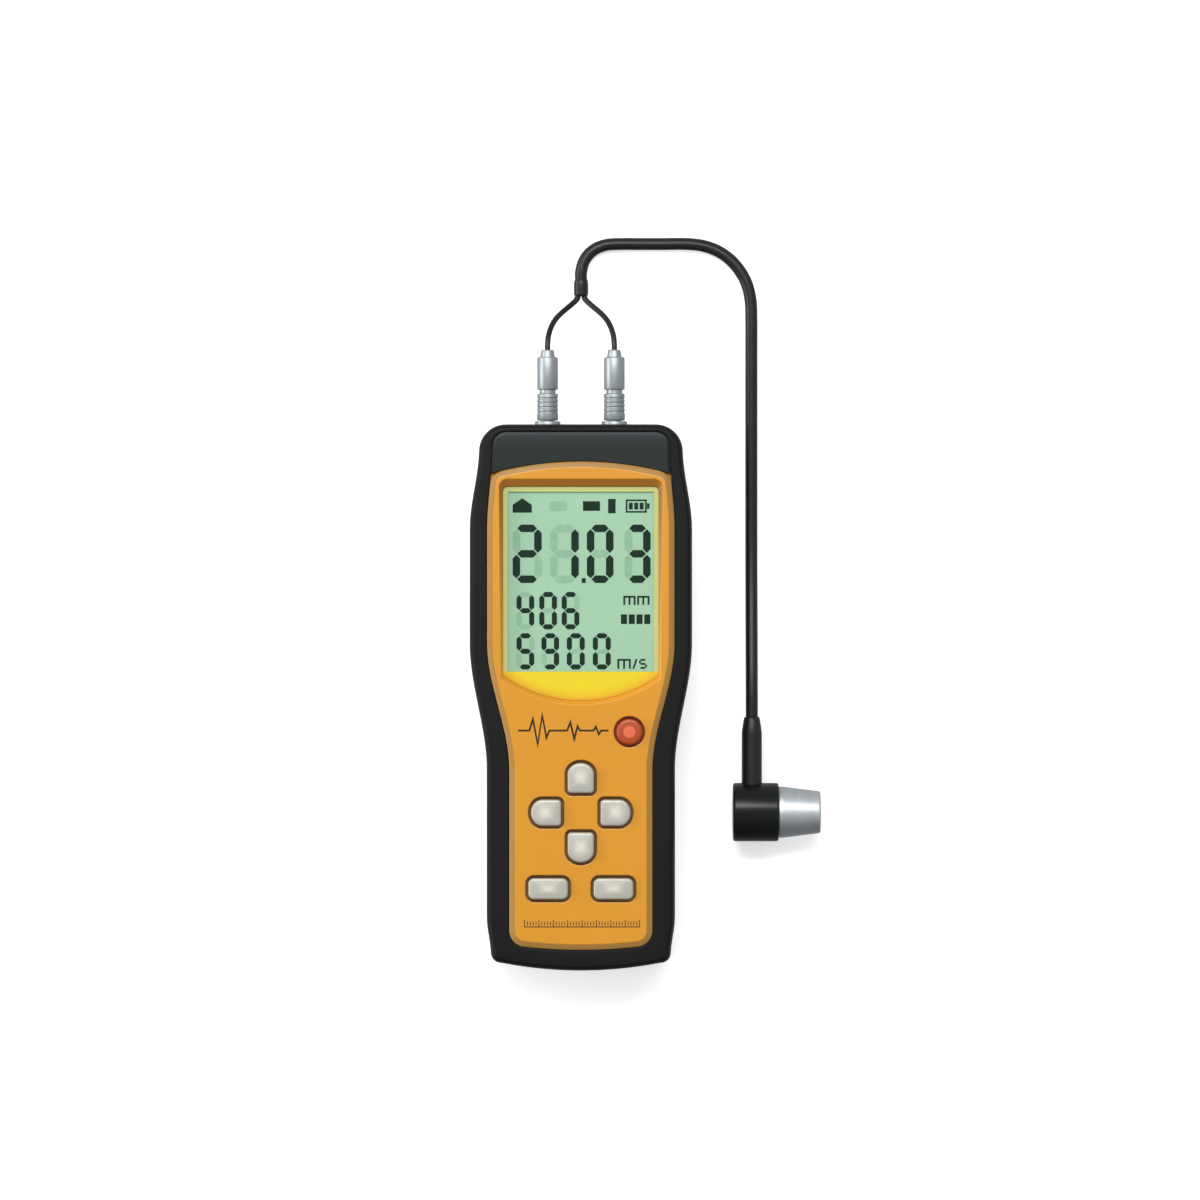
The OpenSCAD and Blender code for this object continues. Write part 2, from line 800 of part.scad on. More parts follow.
// Coaxial socket: flange outside the cap, threaded barrel inside it, pin in its bore
module socket(side) {
    seat = 0.05;
    bore_end = flange_out - bore_depth;
    pin_r = 0.5;
    edge = 0.3;
    flange_r = socket_d / 2;
    color("#b4b9bd") along_y([side * socket_x, cap_y, socket_z]) rotate_extrude() polygon([
        [0, -barrel_l], [barrel_d / 2, -barrel_l], [barrel_d / 2, seat], [flange_r, seat],
        [flange_r, flange_out - edge], [flange_r - edge, flange_out], [socket_bore / 2, flange_out],
        [socket_bore / 2, bore_end], [pin_r, bore_end], [pin_r, bore_end + 5], [0, bore_end + 5]
    ]);
}

module socket_left() {
    socket(-1);
}

module socket_right() {
    socket(1);
}

module socket_nuts() {
    nut_h = 2.2;
    color("#a9aeb2") at_sockets(cap_y - cap_wall - loose - nut_h) difference() {
        cylinder(d = barrel_d + 3, h = nut_h, $fn = 6);
        translate([0, 0, -1]) cylinder(d = barrel_d + 0.2, h = nut_h + 2);
    }
}

module socket_wires() {
    back = cap_y - barrel_l - slip;
    top_room = 0.34;
    reach = barrel_d;
    rise = board_z - top_room - socket_z;
    shares = [[0, 0], [0.32, 0.07], [0.62, 0.32], [0.86, 0.67], [1, 1]];
    color("#c8332b") both_sides()
        tube([for (s = shares) [socket_x, back - reach * s[0], socket_z + rise * s[1]]], 1.2, lead_sides);
}

// Round cell along +Y, its button at the far end
module cell() {
    can_l = cell_l - button_l;
    edge = 0.6;
    color("#3b4a66") rotate([-90, 0, 0]) rotate_extrude() polygon([
        [0, 0], [cell_d / 2 - edge, 0], [cell_d / 2, edge], [cell_d / 2, can_l - edge],
        [cell_d / 2 - edge, can_l], [button_d / 2, can_l], [button_d / 2, cell_l], [0, cell_l]
    ]);
}

module battery_left() {
    translate([-cell_x, bay_high - contact_thick - cell_l - loose / 2, cell_z]) cell();
}

module battery_right() {
    translate([cell_x, bay_low + contact_thick + cell_l + loose / 2, cell_z]) mirror([0, 1, 0]) cell();
}

// Conical spring that grows along +Y
module cell_spring() {
    turns = 3;
    steps = 12;
    room = wire_d / 2 + slip;
    length = spring_l - 2 * room;
    big_r = cell_d / 2 - 2.1;
    small_r = button_d / 2;
    tube([for (i = [0:turns * steps]) let (t = i / (turns * steps), r = big_r + (small_r - big_r) * t)
        [r * cos(360 * turns * t), room + length * t, r * sin(360 * turns * t)]], wire_d, lead_sides);
}

module battery_springs() {
    color("#cfd3d6") {
        translate([-cell_x, bay_low + contact_thick, cell_z]) cell_spring();
        translate([cell_x, bay_high - contact_thick, cell_z]) mirror([0, 1, 0]) cell_spring();
    }
}

module battery_contacts() {
    half = 5.6;
    low = cell_z - half;
    high = cell_z + half;
    color("#cfd3d6") {
        box([-cell_x - half, bay_low, low], [cell_x + half, bay_low + contact_thick, high]);
        for (x = [-cell_x, cell_x])
            box([x - half, bay_high - contact_thick, low], [x + half, bay_high, high]);
    }
}

module battery_door() {
    grip_rows = 5;
    groove = [16, 1.2, 1.5];
    grip_pitch = 2.6;
    color("#202225") difference() {
        union() {
            intersection() {
                slab(boot_ring(inner), case_back, door_top);
                box([-bay_half, -boot_length, 0], [bay_half, bay_high, door_top]);
            }
            intersection() {
                slab(boot_ring(inner), door_top - tongue_h, door_top);
                box([-bay_half - tongue, -boot_length, 0], [bay_half + tongue, bay_high, door_top]);
            }
        }
        for (i = [0:grip_rows - 1])
            translate([-groove[0] / 2, bay_low + 6 + grip_pitch * i, case_back - 1]) cube(groove);
    }
}

// Plug core: nose in the socket, body under the sleeve, spigot in the back nut
module plug_core(side) {
    nose_r = socket_bore / 2 - plug_gap;
    body_l = nut_y - plug_y;
    color("#b8bdc0") along_y([side * socket_x, plug_y, socket_z]) rotate_extrude() polygon([
        [1.3, socket_y - plug_reach - plug_y], [nose_r, socket_y - plug_reach - plug_y], [nose_r, 0],
        [core_d / 2, 0], [core_d / 2, body_l], [2.2, body_l], [2.2, body_l + spigot_l],
        [0, body_l + spigot_l], [0, 2], [1.3, 2]
    ]);
}

module plug_core_left() {
    plug_core(-1);
}

module plug_core_right() {
    plug_core(1);
}

// Sleeve that slides back to free the latch, with fine grip rings
module plug_sleeve(side) {
    rings = 4;
    bore_r = core_d / 2 + plug_gap;
    r = plug_d / 2;
    ring_y = function (i) 2.4 + 1.5 * i;
    color("#a5acaf") along_y([side * socket_x, plug_y, socket_z]) rotate_extrude() polygon(concat(
        [[bore_r, 0], [r - 0.3, 0], [r, 0.3]],
        [for (i = [0:rings - 1]) let (y = ring_y(i)) each
            [[r, y], [r - 0.16, y + 0.2], [r - 0.16, y + 0.6], [r, y + 0.8]]],
        [[r, sleeve_l - 0.3], [r - 0.3, sleeve_l], [bore_r, sleeve_l]]
    ));
}

module plug_sleeve_left() {
    plug_sleeve(-1);
}

module plug_sleeve_right() {
    plug_sleeve(1);
}

// Back nut of a plug, tapered where the lead comes out
module plug_nut(side) {
    r = plug_d / 2;
    color("#c3c8ca") along_y([side * socket_x, nut_y, socket_z]) rotate_extrude() polygon([
        [2.3, 0], [r - 0.3, 0], [r, 0.3], [r, nut_l - 0.4], [r - 0.6, nut_l], [r - 1, nut_l],
        [r - 1.5, nut_l + tip_l], [lead_bore / 2, nut_l + tip_l], [lead_bore / 2, spigot_l + 0.2],
        [2.3, spigot_l + 0.2]
    ]);
}

module plug_nut_left() {
    plug_nut(-1);
}

module plug_nut_right() {
    plug_nut(1);
}

module lead_left() {
    color("#1b1b1d") tube([for (p = lead_route) [-p[0], p[1], p[2]]], lead_d, lead_sides);
}

module lead_right() {
    color("#1b1b1d") tube(lead_route, lead_d, lead_sides);
}

module split_collar() {
    r = collar_d / 2;
    color("#1b1b1d") difference() {
        along_y([0, collar_y, r]) rotate_extrude() polygon([
            [0, 0], [r - 0.6, 0], [r, 0.8], [r, collar_l - 1.6], [r - 0.8, collar_l], [0, collar_l]
        ]);
        for (side = [-1, 1]) along_y([side * collar_bore_x, collar_y - 1, r])
            cylinder(d = collar_bore, h = collar_bore_l + 1);
    }
}

module probe_cord() {
    color("#2a2a2c") tube([for (p = cord_route) [p[0], p[1], p[2] + cord_d / 2]], cord_d, cord_sides);
}

// Tapered strain relief between the cord and the probe body
module strain_relief() {
    r = relief_d / 2;
    length = relief_y - (probe_y + probe_d / 2 - relief_seat);
    color("#1b1b1d") along_y([relief_x, relief_y - length, probe_z]) rotate_extrude() polygon([
        [0, 0], [r, 0], [r, length - relief_taper], [relief_tip_d / 2, length], [0, length]
    ]);
}

module probe_body() {
    r = probe_d / 2;
    seat_r = spigot_d / 2 + slip;
    core_r = delay_d / 2 + 2 * slip;
    core_l = nose_seat + delay_seat + crystal_thick + backing_l;
    color("#14181a") difference() {
        along_x([probe_x, probe_y, probe_z]) rotate_extrude() polygon([
            [0, 0], [r - 0.8, 0], [r, 0.8], [r, probe_l - 0.6], [r - 0.6, probe_l], [seat_r, probe_l],
            [seat_r, probe_l - nose_seat - slip], [core_r, probe_l - nose_seat - slip],
            [core_r, probe_l - core_l], [0, probe_l - core_l]
        ]);
        along_y([relief_x, probe_y + probe_d / 2 - relief_seat - slip, probe_z])
            cylinder(d = relief_d + 2 * slip, h = probe_d);
    }
}

module probe_nose() {
    bore_r = delay_d / 2 + slip;
    color("#c9ced2") along_x([probe_x + probe_l, probe_y, probe_z]) rotate_extrude() polygon([
        [bore_r, -nose_seat], [spigot_d / 2, -nose_seat], [spigot_d / 2, 0], [nose_d / 2, 0],
        [nose_d / 2, 1.6], [nose_tip_d / 2, nose_l], [bore_r, nose_l]
    ]);
}

// Two half cylinders along the probe's axis, parted by the sound barrier
module halves(d, from, to) {
    gap = barrier_thick / 2 + slip / 2;
    along_x([probe_x + probe_l, probe_y, probe_z]) difference() {
        translate([0, 0, from]) cylinder(d = d, h = to - from);
        box([-gap, -d, from - 1], [gap, d, to + 1]);
    }
}

module delay_blocks() {
    color("#d9b36a") halves(delay_d, -nose_seat - delay_seat, nose_l);
}

module sound_barrier() {
    half = delay_d / 2 - slip;
    low = -nose_seat - delay_seat - crystal_thick - backing_l + slip;
    color("#8a5a35") along_x([probe_x + probe_l, probe_y, probe_z])
        box([-barrier_thick / 2, -half, low], [barrier_thick / 2, half, nose_l]);
}

module probe_crystals() {
    face = -nose_seat - delay_seat;
    color("#cfc9a8") halves(delay_d - 0.4, face - crystal_thick, face);
}

module probe_backing() {
    face = -nose_seat - delay_seat - crystal_thick;
    color("#3a3a3a") halves(delay_d - 0.4, face - backing_l + slip, face);
}

rubber_boot();
front_case();
rear_case();
connector_cap();
display_window();
window_mask();
lcd_frame();
lcd_glass();
backlight();
contact_strips();
main_board();
board_chips();
board_screws();
case_screws();
keypad_mat();
key_up();
key_down();
key_left();
key_right();
key_function_left();
key_function_right();
key_power();
socket_left();
socket_right();
socket_nuts();
socket_wires();
battery_left();
battery_right();
battery_springs();
battery_contacts();
battery_door();
plug_core_left();
plug_core_right();
plug_sleeve_left();
plug_sleeve_right();
plug_nut_left();
plug_nut_right();
lead_left();
lead_right();
split_collar();
probe_cord();
strain_relief();
probe_body();
probe_nose();
delay_blocks();
sound_barrier();
probe_crystals();
probe_backing();
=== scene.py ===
import math

import bmesh
import bpy
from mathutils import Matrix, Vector
from mathutils.geometry import tessellate_polygon


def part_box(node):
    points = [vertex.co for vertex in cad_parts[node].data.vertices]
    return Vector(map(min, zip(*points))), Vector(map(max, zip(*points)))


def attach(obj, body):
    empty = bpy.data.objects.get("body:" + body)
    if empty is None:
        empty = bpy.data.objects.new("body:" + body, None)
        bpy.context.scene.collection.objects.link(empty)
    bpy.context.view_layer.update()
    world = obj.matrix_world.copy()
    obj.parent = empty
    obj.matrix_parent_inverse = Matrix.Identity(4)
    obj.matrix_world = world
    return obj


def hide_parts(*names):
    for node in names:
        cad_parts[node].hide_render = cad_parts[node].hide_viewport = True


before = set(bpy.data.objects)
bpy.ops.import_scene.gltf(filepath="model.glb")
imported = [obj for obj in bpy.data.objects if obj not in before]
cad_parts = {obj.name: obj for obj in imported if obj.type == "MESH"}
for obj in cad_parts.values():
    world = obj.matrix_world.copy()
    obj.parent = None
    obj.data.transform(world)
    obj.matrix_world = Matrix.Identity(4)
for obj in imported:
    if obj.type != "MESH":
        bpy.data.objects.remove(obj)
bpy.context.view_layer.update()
mm = 0.001
print("frame loaded:", len(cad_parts), "nodes")


# shader maths: a socket that takes part in plain expressions
class Sock:
    def __init__(self, tree, socket):
        self.tree = tree
        self.socket = socket

    def maths(self, operation, a, b):
        return Tree(self.tree).node("ShaderNodeMath", {"operation": operation}, {0: a, 1: b})

    def __add__(self, other):
        return self.maths("ADD", self, other)

    def __radd__(self, other):
        return self.maths("ADD", other, self)

    def __sub__(self, other):
        return self.maths("SUBTRACT", self, other)

    def __rsub__(self, other):
        return self.maths("SUBTRACT", other, self)

    def __mul__(self, other):
        return self.maths("MULTIPLY", self, other)

    def __rmul__(self, other):
        return self.maths("MULTIPLY", other, self)

    def __truediv__(self, other):
        return self.maths("DIVIDE", self, other)

    def __mod__(self, other):
        return self.maths("MODULO", self, other)

    def __pow__(self, other):
        return self.maths("POWER", self, other)

    def atLeast(self, other):
        return self.maths("MAXIMUM", self, other)

    def atMost(self, other):
        return self.maths("MINIMUM", self, other)

    def share(self):
        return self.atLeast(0.0).atMost(1.0)


# one method adds any node: its settings first, then the values or links of its sockets
class Tree:
    def __init__(self, tree):
        self.tree = tree

    def node(self, kind, settings=None, values=None, out=0):
        made = self.tree.nodes.new(kind)
        for key, value in (settings or {}).items():
            setattr(made, key, value)
        for key, value in (values or {}).items():
            if isinstance(value, Sock):
                self.tree.links.new(value.socket, made.inputs[key])
            else:
                made.inputs[key].default_value = value
        return Sock(self.tree, made.outputs[out])


def srgb(r, g, b):
    def linear(c):
        c = c / 255
        return c / 12.92 if c <= 0.04045 else ((c + 0.055) / 1.055) ** 2.4
    return (linear(r), linear(g), linear(b), 1.0)


def scaled(colour, k):
    return tuple(min(1.0, c * k) for c in colour[:3]) + (1.0,)


# a material with one principled shader
class Finish(Tree):
    def __init__(self, name, **constants):
        self.material = bpy.data.materials.new(name)
        self.material.use_nodes = True
        super().__init__(self.material.node_tree)
        self.shader = self.tree.nodes["Principled BSDF"]
        for socket, value in constants.items():
            self.shader.inputs[socket.replace("_", " ")].default_value = value

    def feed(self, socket, value):
        self.tree.links.new(value.socket, self.shader.inputs[socket])

    def place(self):
        return self.node("ShaderNodeTexCoord", out=3)  # Object coordinates

    def axis(self, index):
        return self.node("ShaderNodeSeparateXYZ", values={0: self.place()}, out=index)

    def noise(self, scale, detail, vector=None):
        values = {"Vector": vector or self.place(), "Scale": scale, "Detail": detail}
        return self.node("ShaderNodeTexNoise", values=values)

    # colours are inputs 6 and 7 and output 2 of this node
    def mix(self, factor, a, b):
        return self.node("ShaderNodeMix", {"data_type": "RGBA"}, {0: factor, 6: a, 7: b}, out=2)

    # a colour between a darker and a lighter tone of itself
    def tinted(self, cloud, colour, tones):
        return self.mix(cloud, scaled(colour, tones[0]), scaled(colour, tones[1]))

    def bump(self, height, strength, distance):
        values = {"Strength": strength, "Distance": distance, "Height": height}
        self.feed("Normal", self.node("ShaderNodeBump", values=values))

    def attribute(self, name):
        return self.node("ShaderNodeAttribute", {"attribute_name": name}, out=2)  # as a number

    # gloss that follows a cloud, over a fine grain: scale, detail, strength and depth
    def surface(self, cloud, look):
        self.feed("Roughness", cloud * look["glossSpan"] + look["gloss"])
        scale, detail, strength, depth = look["grain"]
        self.bump(self.noise(scale, detail), strength, depth)


# plastic and rubber: colour and gloss vary a little over the piece
def cloudedFinish(name, colour, look):
    finish = Finish(name, **look["shader"])
    cloud = finish.noise(*look["cloud"])
    finish.feed("Base Color", finish.tinted(cloud, colour, look["tones"]))
    finish.surface(cloud, look)
    return finish


# camera and light: place, target, size and power of each lamp
shot = {
    "field": 403 * mm, "middle": (6.4 * mm, 32.6 * mm), "height": 2.6, "aimZ": 16 * mm, "sensor": 36.0,
    "clipEnd": 20.0, "floorSize": 16.0, "floorRough": 0.9, "floorGlow": 0.5,
    "glowColour": (1.0, 1.0, 1.0, 1.0), "floorColour": srgb(252, 252, 252), "floorShade": srgb(246, 246, 246),
    "floorGrain": (900.0, 3.0), "shadeShare": 0.15, "worldStrength": 0.5,
    "roomShade": {"From Min": -0.95, "From Max": -0.2, "To Min": 0.3, "To Max": 1.0},
    "lights": {
        "topStrip": ((0.05, 0.62, 1.25), (0.02, 0.0, 0.0), (1.3, 0.14), 8.0),
        "leftStrip": ((-1.15, 0.15, 0.42), (0.0, 0.02, 0.0), (1.2, 0.3), 8.0),
        "fillPanel": ((-0.3, 0.85, 1.5), (0.0, 0.0, 0.0), (0.9, 0.9), 7.0),
    },
}


def linked(name, data):
    piece = bpy.data.objects.new(name, data)
    bpy.context.scene.collection.objects.link(piece)
    return piece


def plainMesh(name, points, faces, smooth=False):
    mesh = bpy.data.meshes.new(name)
    mesh.from_pydata([tuple(p) for p in points], [], faces)
    mesh.update()
    if smooth:
        mesh.polygons.foreach_set("use_smooth", [True] * len(mesh.polygons))
    return linked(name, mesh)


def makeCamera():
    data = bpy.data.cameras.new("shotCamera")
    data.sensor_width = shot["sensor"]
    data.lens = shot["sensor"] * (shot["height"] - shot["aimZ"]) / shot["field"]
    data.clip_end = shot["clipEnd"]
    camera = linked("shotCamera", data)
    camera.location = (shot["middle"][0], shot["middle"][1], shot["height"])
    bpy.context.scene.camera = camera


def areaLight(name, place, target, size, power):
    data = bpy.data.lights.new(name, "AREA")
    data.shape = "RECTANGLE"
    data.size, data.size_y = size
    data.energy = power
    light = linked(name, data)
    light.location = place
    light.rotation_euler = (Vector(target) - Vector(place)).to_track_quat("-Z", "Y").to_euler()


# the room is darker below the foot of the gauge
def makeRoom():
    world = bpy.data.worlds.new("studio")
    world.use_nodes = True
    room = Tree(world.node_tree)
    sky = world.node_tree.nodes["Background"]
    sky.inputs["Strength"].default_value = shot["worldStrength"]
    along = room.node("ShaderNodeSeparateXYZ", values={0: room.node("ShaderNodeTexCoord")}, out=1)
    shade = room.node("ShaderNodeMapRange", values={"Value": along, **shot["roomShade"]})
    world.node_tree.links.new(shade.socket, sky.inputs["Color"])
    bpy.context.scene.world = world
    bpy.context.scene.view_settings.view_transform = "Standard"


def makeFloor():
    half = shot["floorSize"] / 2
    corners = [(-half, -half, 0), (half, -half, 0), (half, half, 0), (-half, half, 0)]
    floor = plainMesh("floor", corners, [(0, 1, 2, 3)])
    paper = Finish("floorPaper", Roughness=shot["floorRough"], Emission_Strength=shot["floorGlow"],
                   Emission_Color=shot["glowColour"])
    grain = paper.noise(*shot["floorGrain"]) * shot["shadeShare"]
    paper.feed("Base Color", paper.mix(grain, shot["floorColour"], shot["floorShade"]))
    floor.data.materials.append(paper.material)
    floor.visible_glossy = False  # metal and gloss mirror the room, not the white paper


makeCamera()
makeRoom()
makeFloor()
for name, setting in shot["lights"].items():
    areaLight(name, *setting)
print("camera and studio made")


# mesh helpers: loops of points joined by strips of quads, in mm
class Skin:
    def __init__(self):
        self.points = []
        self.faces = []
        self.tones = []

    def loop(self, flatPoints, z, tone=0.0):
        start = len(self.points)
        self.points += [Vector((p[0] * mm, p[1] * mm, z * mm)) for p in flatPoints]
        self.tones += [tone] * len(flatPoints)
        return list(range(start, len(self.points)))

    def strip(self, low, high):
        count = len(low)
        for i in range(count):
            j = (i + 1) % count
            self.faces.append((low[i], low[j], high[j], high[i]))

    def strips(self, loops, closed=False):
        for low, high in zip(loops, loops[1:]):
            self.strip(low, high)
        if closed:
            self.strip(loops[-1], loops[0])

    def fan(self, loop, centre, tone=0.0):
        self.points.append(Vector([c * mm for c in centre]))
        self.tones.append(tone)
        tip = len(self.points) - 1
        for i in range(len(loop)):
            self.faces.append((loop[i], loop[(i + 1) % len(loop)], tip))

    def sheet(self, outer, holes, down=False):
        rings = [outer] + holes
        order = [i for ring in rings for i in ring]
        filled = tessellate_polygon([[self.points[i] for i in ring] for ring in rings])
        for tri in filled:
            a, b, c = (order[i] for i in tri)
            normal = (self.points[b] - self.points[a]).cross(self.points[c] - self.points[a])
            if (normal.z < 0) != down:
                a, c = c, a
            self.faces.append((a, b, c))

    def slab(self, flatPoints, low, high):
        under = self.loop(flatPoints, low)
        over = self.loop(flatPoints, high)
        self.strip(under, over)
        self.faces.append(tuple(reversed(under)))
        self.faces.append(tuple(over))

    def make(self, name, smooth=True):
        piece = plainMesh(name, self.points, self.faces, smooth)
        tone = piece.data.attributes.new("tone", "FLOAT", "POINT")
        tone.data.foreach_set("value", self.tones)
        return piece


def arc(centre, radius, start, end, count):
    turns = [math.radians(start + (end - start) * i / count) for i in range(count + 1)]
    return [(centre[0] + radius * math.cos(a), centre[1] + radius * math.sin(a)) for a in turns]


def mirrored(points):
    return [(-x, y) for x, y in reversed(points)]


def smoothStep(t):
    t = max(0.0, min(1.0, t))
    return t * t * (3 - 2 * t)


# plan of the housing, the same rule as the solids follow: half widths from the sockets to the foot
plan = {
    "halfLength": 91.4, "boot": (34.1, 37.2, 31.5, 30.1), "face": (29.5, 31.3, 23.9, 23.9),
    "shoulderY": 83.4, "bellyHigh": 56.4, "bellyLow": 18.0, "waistLow": -24.0,
    "footStart": -73.4, "footEnd": -86.4, "bootTopR": 9.0, "bootFootR": 3.4, "footBow": 2.6,
    "faceTopR": 4.5, "faceFootR": 5.5, "faceBow": 1.0, "leastR": 0.8, "archY": 78.9, "archDrop": 4.4,
    "archCorner": 4.0, "archLeastR": 1.0, "inner": 2.35, "bootWall": 2.2, "caseWall": 2.0, "backLip": 8.0,
    "faceFoot": 7.1, "bootGap": 0.15, "panelGap": 0.4, "ledge": 0.6, "lipThick": 1.8,
}
# points along each kind of edge
steps = {
    "edge": 14, "corner": 12, "side": 110, "arch": 26, "archTries": 12, "small": 10, "dome": 36, "ring": 60,
    "bow": 48, "round": 72, "cord": 6,
}
tinyEdge = 0.0001 * mm
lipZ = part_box("rubber_boot")[1].z / mm
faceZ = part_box("front_case")[1].z / mm
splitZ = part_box("front_case")[0].z / mm
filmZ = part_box("window_mask")[0].z / mm
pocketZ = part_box("display_window")[1].z / mm
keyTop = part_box("key_up")[1].z / mm
ledgeZ = filmZ - plan["ledge"]
lipUnder = lipZ - plan["lipThick"]
shoulderZ = lipUnder - plan["bootGap"]
archR = (plan["face"][1] ** 2 + plan["archDrop"] ** 2) / (2 * plan["archDrop"])


# half width at y
def sideX(y, w):
    shoulder, belly, waist, foot = w
    if y > plan["bellyHigh"]:
        share = (y - plan["bellyHigh"]) / (plan["shoulderY"] - plan["bellyHigh"])
        return belly + (shoulder - belly) * smoothStep(share)
    if y > plan["footStart"]:
        share = (plan["bellyLow"] - y) / (plan["bellyLow"] - plan["waistLow"])
        return belly + (waist - belly) * smoothStep(share)
    share = (plan["footStart"] - y) / (plan["footStart"] - plan["footEnd"])
    return waist + (foot - waist) * smoothStep(share)


def footPart(w, low, lowR, bow):
    centre = (sideX(low + bow + lowR, w) - lowR, low + bow + lowR)
    edge = [centre[0] * i / steps["edge"] for i in range(1, steps["edge"])]
    flat = [(x, low + bow * (x / centre[0]) ** 2) for x in edge]
    return flat + arc(centre, lowR, -90, 0, steps["corner"]), centre[1]


def sideRun(w, fromY, toY):
    rise = (toY - fromY) / steps["side"]
    return [(sideX(fromY + rise * i, w), fromY + rise * i) for i in range(1, steps["side"])]


def wholeLoop(w, high, low, highR, lowR, bow):
    foot, startY = footPart(w, low, lowR, bow)
    top = (sideX(high - highR, w) - highR, high - highR)
    half = foot + sideRun(w, startY, top[1]) + arc(top, highR, 0, 90, steps["corner"])
    endX = half[-1][0]
    half += [(endX * (1 - i / steps["edge"]), high) for i in range(1, steps["edge"])]
    return [(0.0, low)] + half + [(0.0, high)] + mirrored(half)


def inwards(halves, inset):
    return [h - inset for h in halves]


def shrunk(radius, inset):
    return max(radius - inset, plan["leastR"])


def bootLoop(inset):
    reach = plan["halfLength"] - inset
    return wholeLoop(inwards(plan["boot"], inset), reach, -reach, shrunk(plan["bootTopR"], inset),
                     shrunk(plan["bootFootR"], inset), plan["footBow"])


def panelLoop(inset):
    high = plan["halfLength"] - plan["inner"] - plan["panelGap"] - inset
    low = plan["faceFoot"] - plan["halfLength"] + inset
    return wholeLoop(inwards(plan["face"], inset), high, low, shrunk(plan["faceTopR"], inset),
                     shrunk(plan["faceFootR"], inset), plan["faceBow"])


def archAt(x, inset):
    return plan["archY"] - archR + math.sqrt((archR - inset) ** 2 - x * x)


# plan of the orange case: as the housing, but ended by the arch
def archedLoop(w, low, lowR, bow, topR, inset):
    foot, startY = footPart(w, low, lowR, bow)
    y = plan["archY"] - plan["archDrop"]
    for again in range(steps["archTries"]):
        y = archAt(sideX(y, w), inset)
    corner = Vector((sideX(y, w), y))
    below = Vector((sideX(y - topR, w), y - topR))
    beside = Vector((corner.x - topR, archAt(corner.x - topR, inset)))
    bend = []
    for i in range(steps["corner"] + 1):
        t = i / steps["corner"]
        p = below * (1 - t) ** 2 + corner * 2 * t * (1 - t) + beside * t ** 2
        bend.append((p.x, p.y))
    run = [beside.x * (1 - i / steps["arch"]) for i in range(1, steps["arch"])]
    half = foot + sideRun(w, startY, below.y) + bend + [(x, archAt(x, inset)) for x in run]
    return [(0.0, low)] + half + [(0.0, archAt(0, inset))] + mirrored(half)


def faceLoop(inset):
    low = plan["faceFoot"] - plan["halfLength"] + inset
    return archedLoop(inwards(plan["face"], inset), low, shrunk(plan["faceFootR"], inset), plan["faceBow"],
                      max(plan["archCorner"] - inset, plan["archLeastR"]), inset)


def skirtLoop(inset):
    low = inset - plan["halfLength"]
    return archedLoop(inwards(plan["boot"], inset), low, shrunk(plan["bootFootR"], inset), plan["footBow"],
                      plan["archLeastR"], max(inset - plan["inner"], 0.0))


# marks edges sharper than the given angle, so flats stay flat and rounds stay round
def crisp(piece, degrees=38):
    work = bmesh.new()
    work.from_mesh(piece.data)
    bmesh.ops.dissolve_degenerate(work, dist=tinyEdge, edges=work.edges)
    for edge in work.edges:
        paired = len(edge.link_faces) == 2
        edge.smooth = not (paired and edge.calc_face_angle(0.0) > math.radians(degrees))
    for facet in work.faces:
        facet.smooth = True
    work.to_mesh(piece.data)
    work.free()
    return piece


# turned piece: profile of (radius, distance along the axis)
def turned(name, profile, place, along="Y", sides=steps["round"], closed=False):
    skin = Skin()
    loops = []
    ends = []
    for radius, reach in profile:
        if radius == 0:
            ends.append(reach)
            continue
        start = len(skin.points)
        for i in range(sides):
            a = 2 * math.pi * i / sides
            u, v = radius * math.cos(a), radius * math.sin(a)
            local = (v, reach, u) if along == "Y" else (reach, u, v)
            skin.points.append(Vector([(place[k] + local[k]) * mm for k in range(3)]))
        skin.tones += [0.0] * sides
        loops.append(list(range(start, len(skin.points))))
    skin.strips(loops, closed)
    axis = Vector((0, 1, 0)) if along == "Y" else Vector((1, 0, 0))
    if ends:
        skin.fan(loops[0][::-1], Vector(place) + axis * ends[0])
        skin.fan(loops[-1], Vector(place) + axis * ends[-1])
    return crisp(skin.make(name))


# the evaluated mesh takes the place of the piece's own, and its modifiers go
def settle(piece):
    graph = bpy.context.evaluated_depsgraph_get()
    mesh = bpy.data.meshes.new_from_object(piece.evaluated_get(graph))
    piece.modifiers.clear()
    old = piece.data
    piece.data = mesh
    bpy.data.meshes.remove(old)


def cutAway(piece, cutter):
    take = piece.modifiers.new("take", "BOOLEAN")
    take.operation = "DIFFERENCE"
    take.solver = "EXACT"
    take.object = cutter
    settle(piece)
    bpy.data.objects.remove(cutter)


def block(name, low, high):
    corners = [Vector((x, y, z)) * mm for z in (low[2], high[2]) for y in (low[1], high[1])
               for x in (low[0], high[0])]
    faces = [(0, 2, 3, 1), (4, 5, 7, 6), (0, 1, 5, 4), (2, 6, 7, 3), (0, 4, 6, 2), (1, 3, 7, 5)]
    return plainMesh(name, corners, faces)


# a finished piece rides its body and stands in for its solids
def finished(piece, finish, body, slot, *nodes):
    piece.data.materials.clear()
    piece.data.materials.append(finish.material)
    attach(piece, body)
    if nodes:
        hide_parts(*nodes)


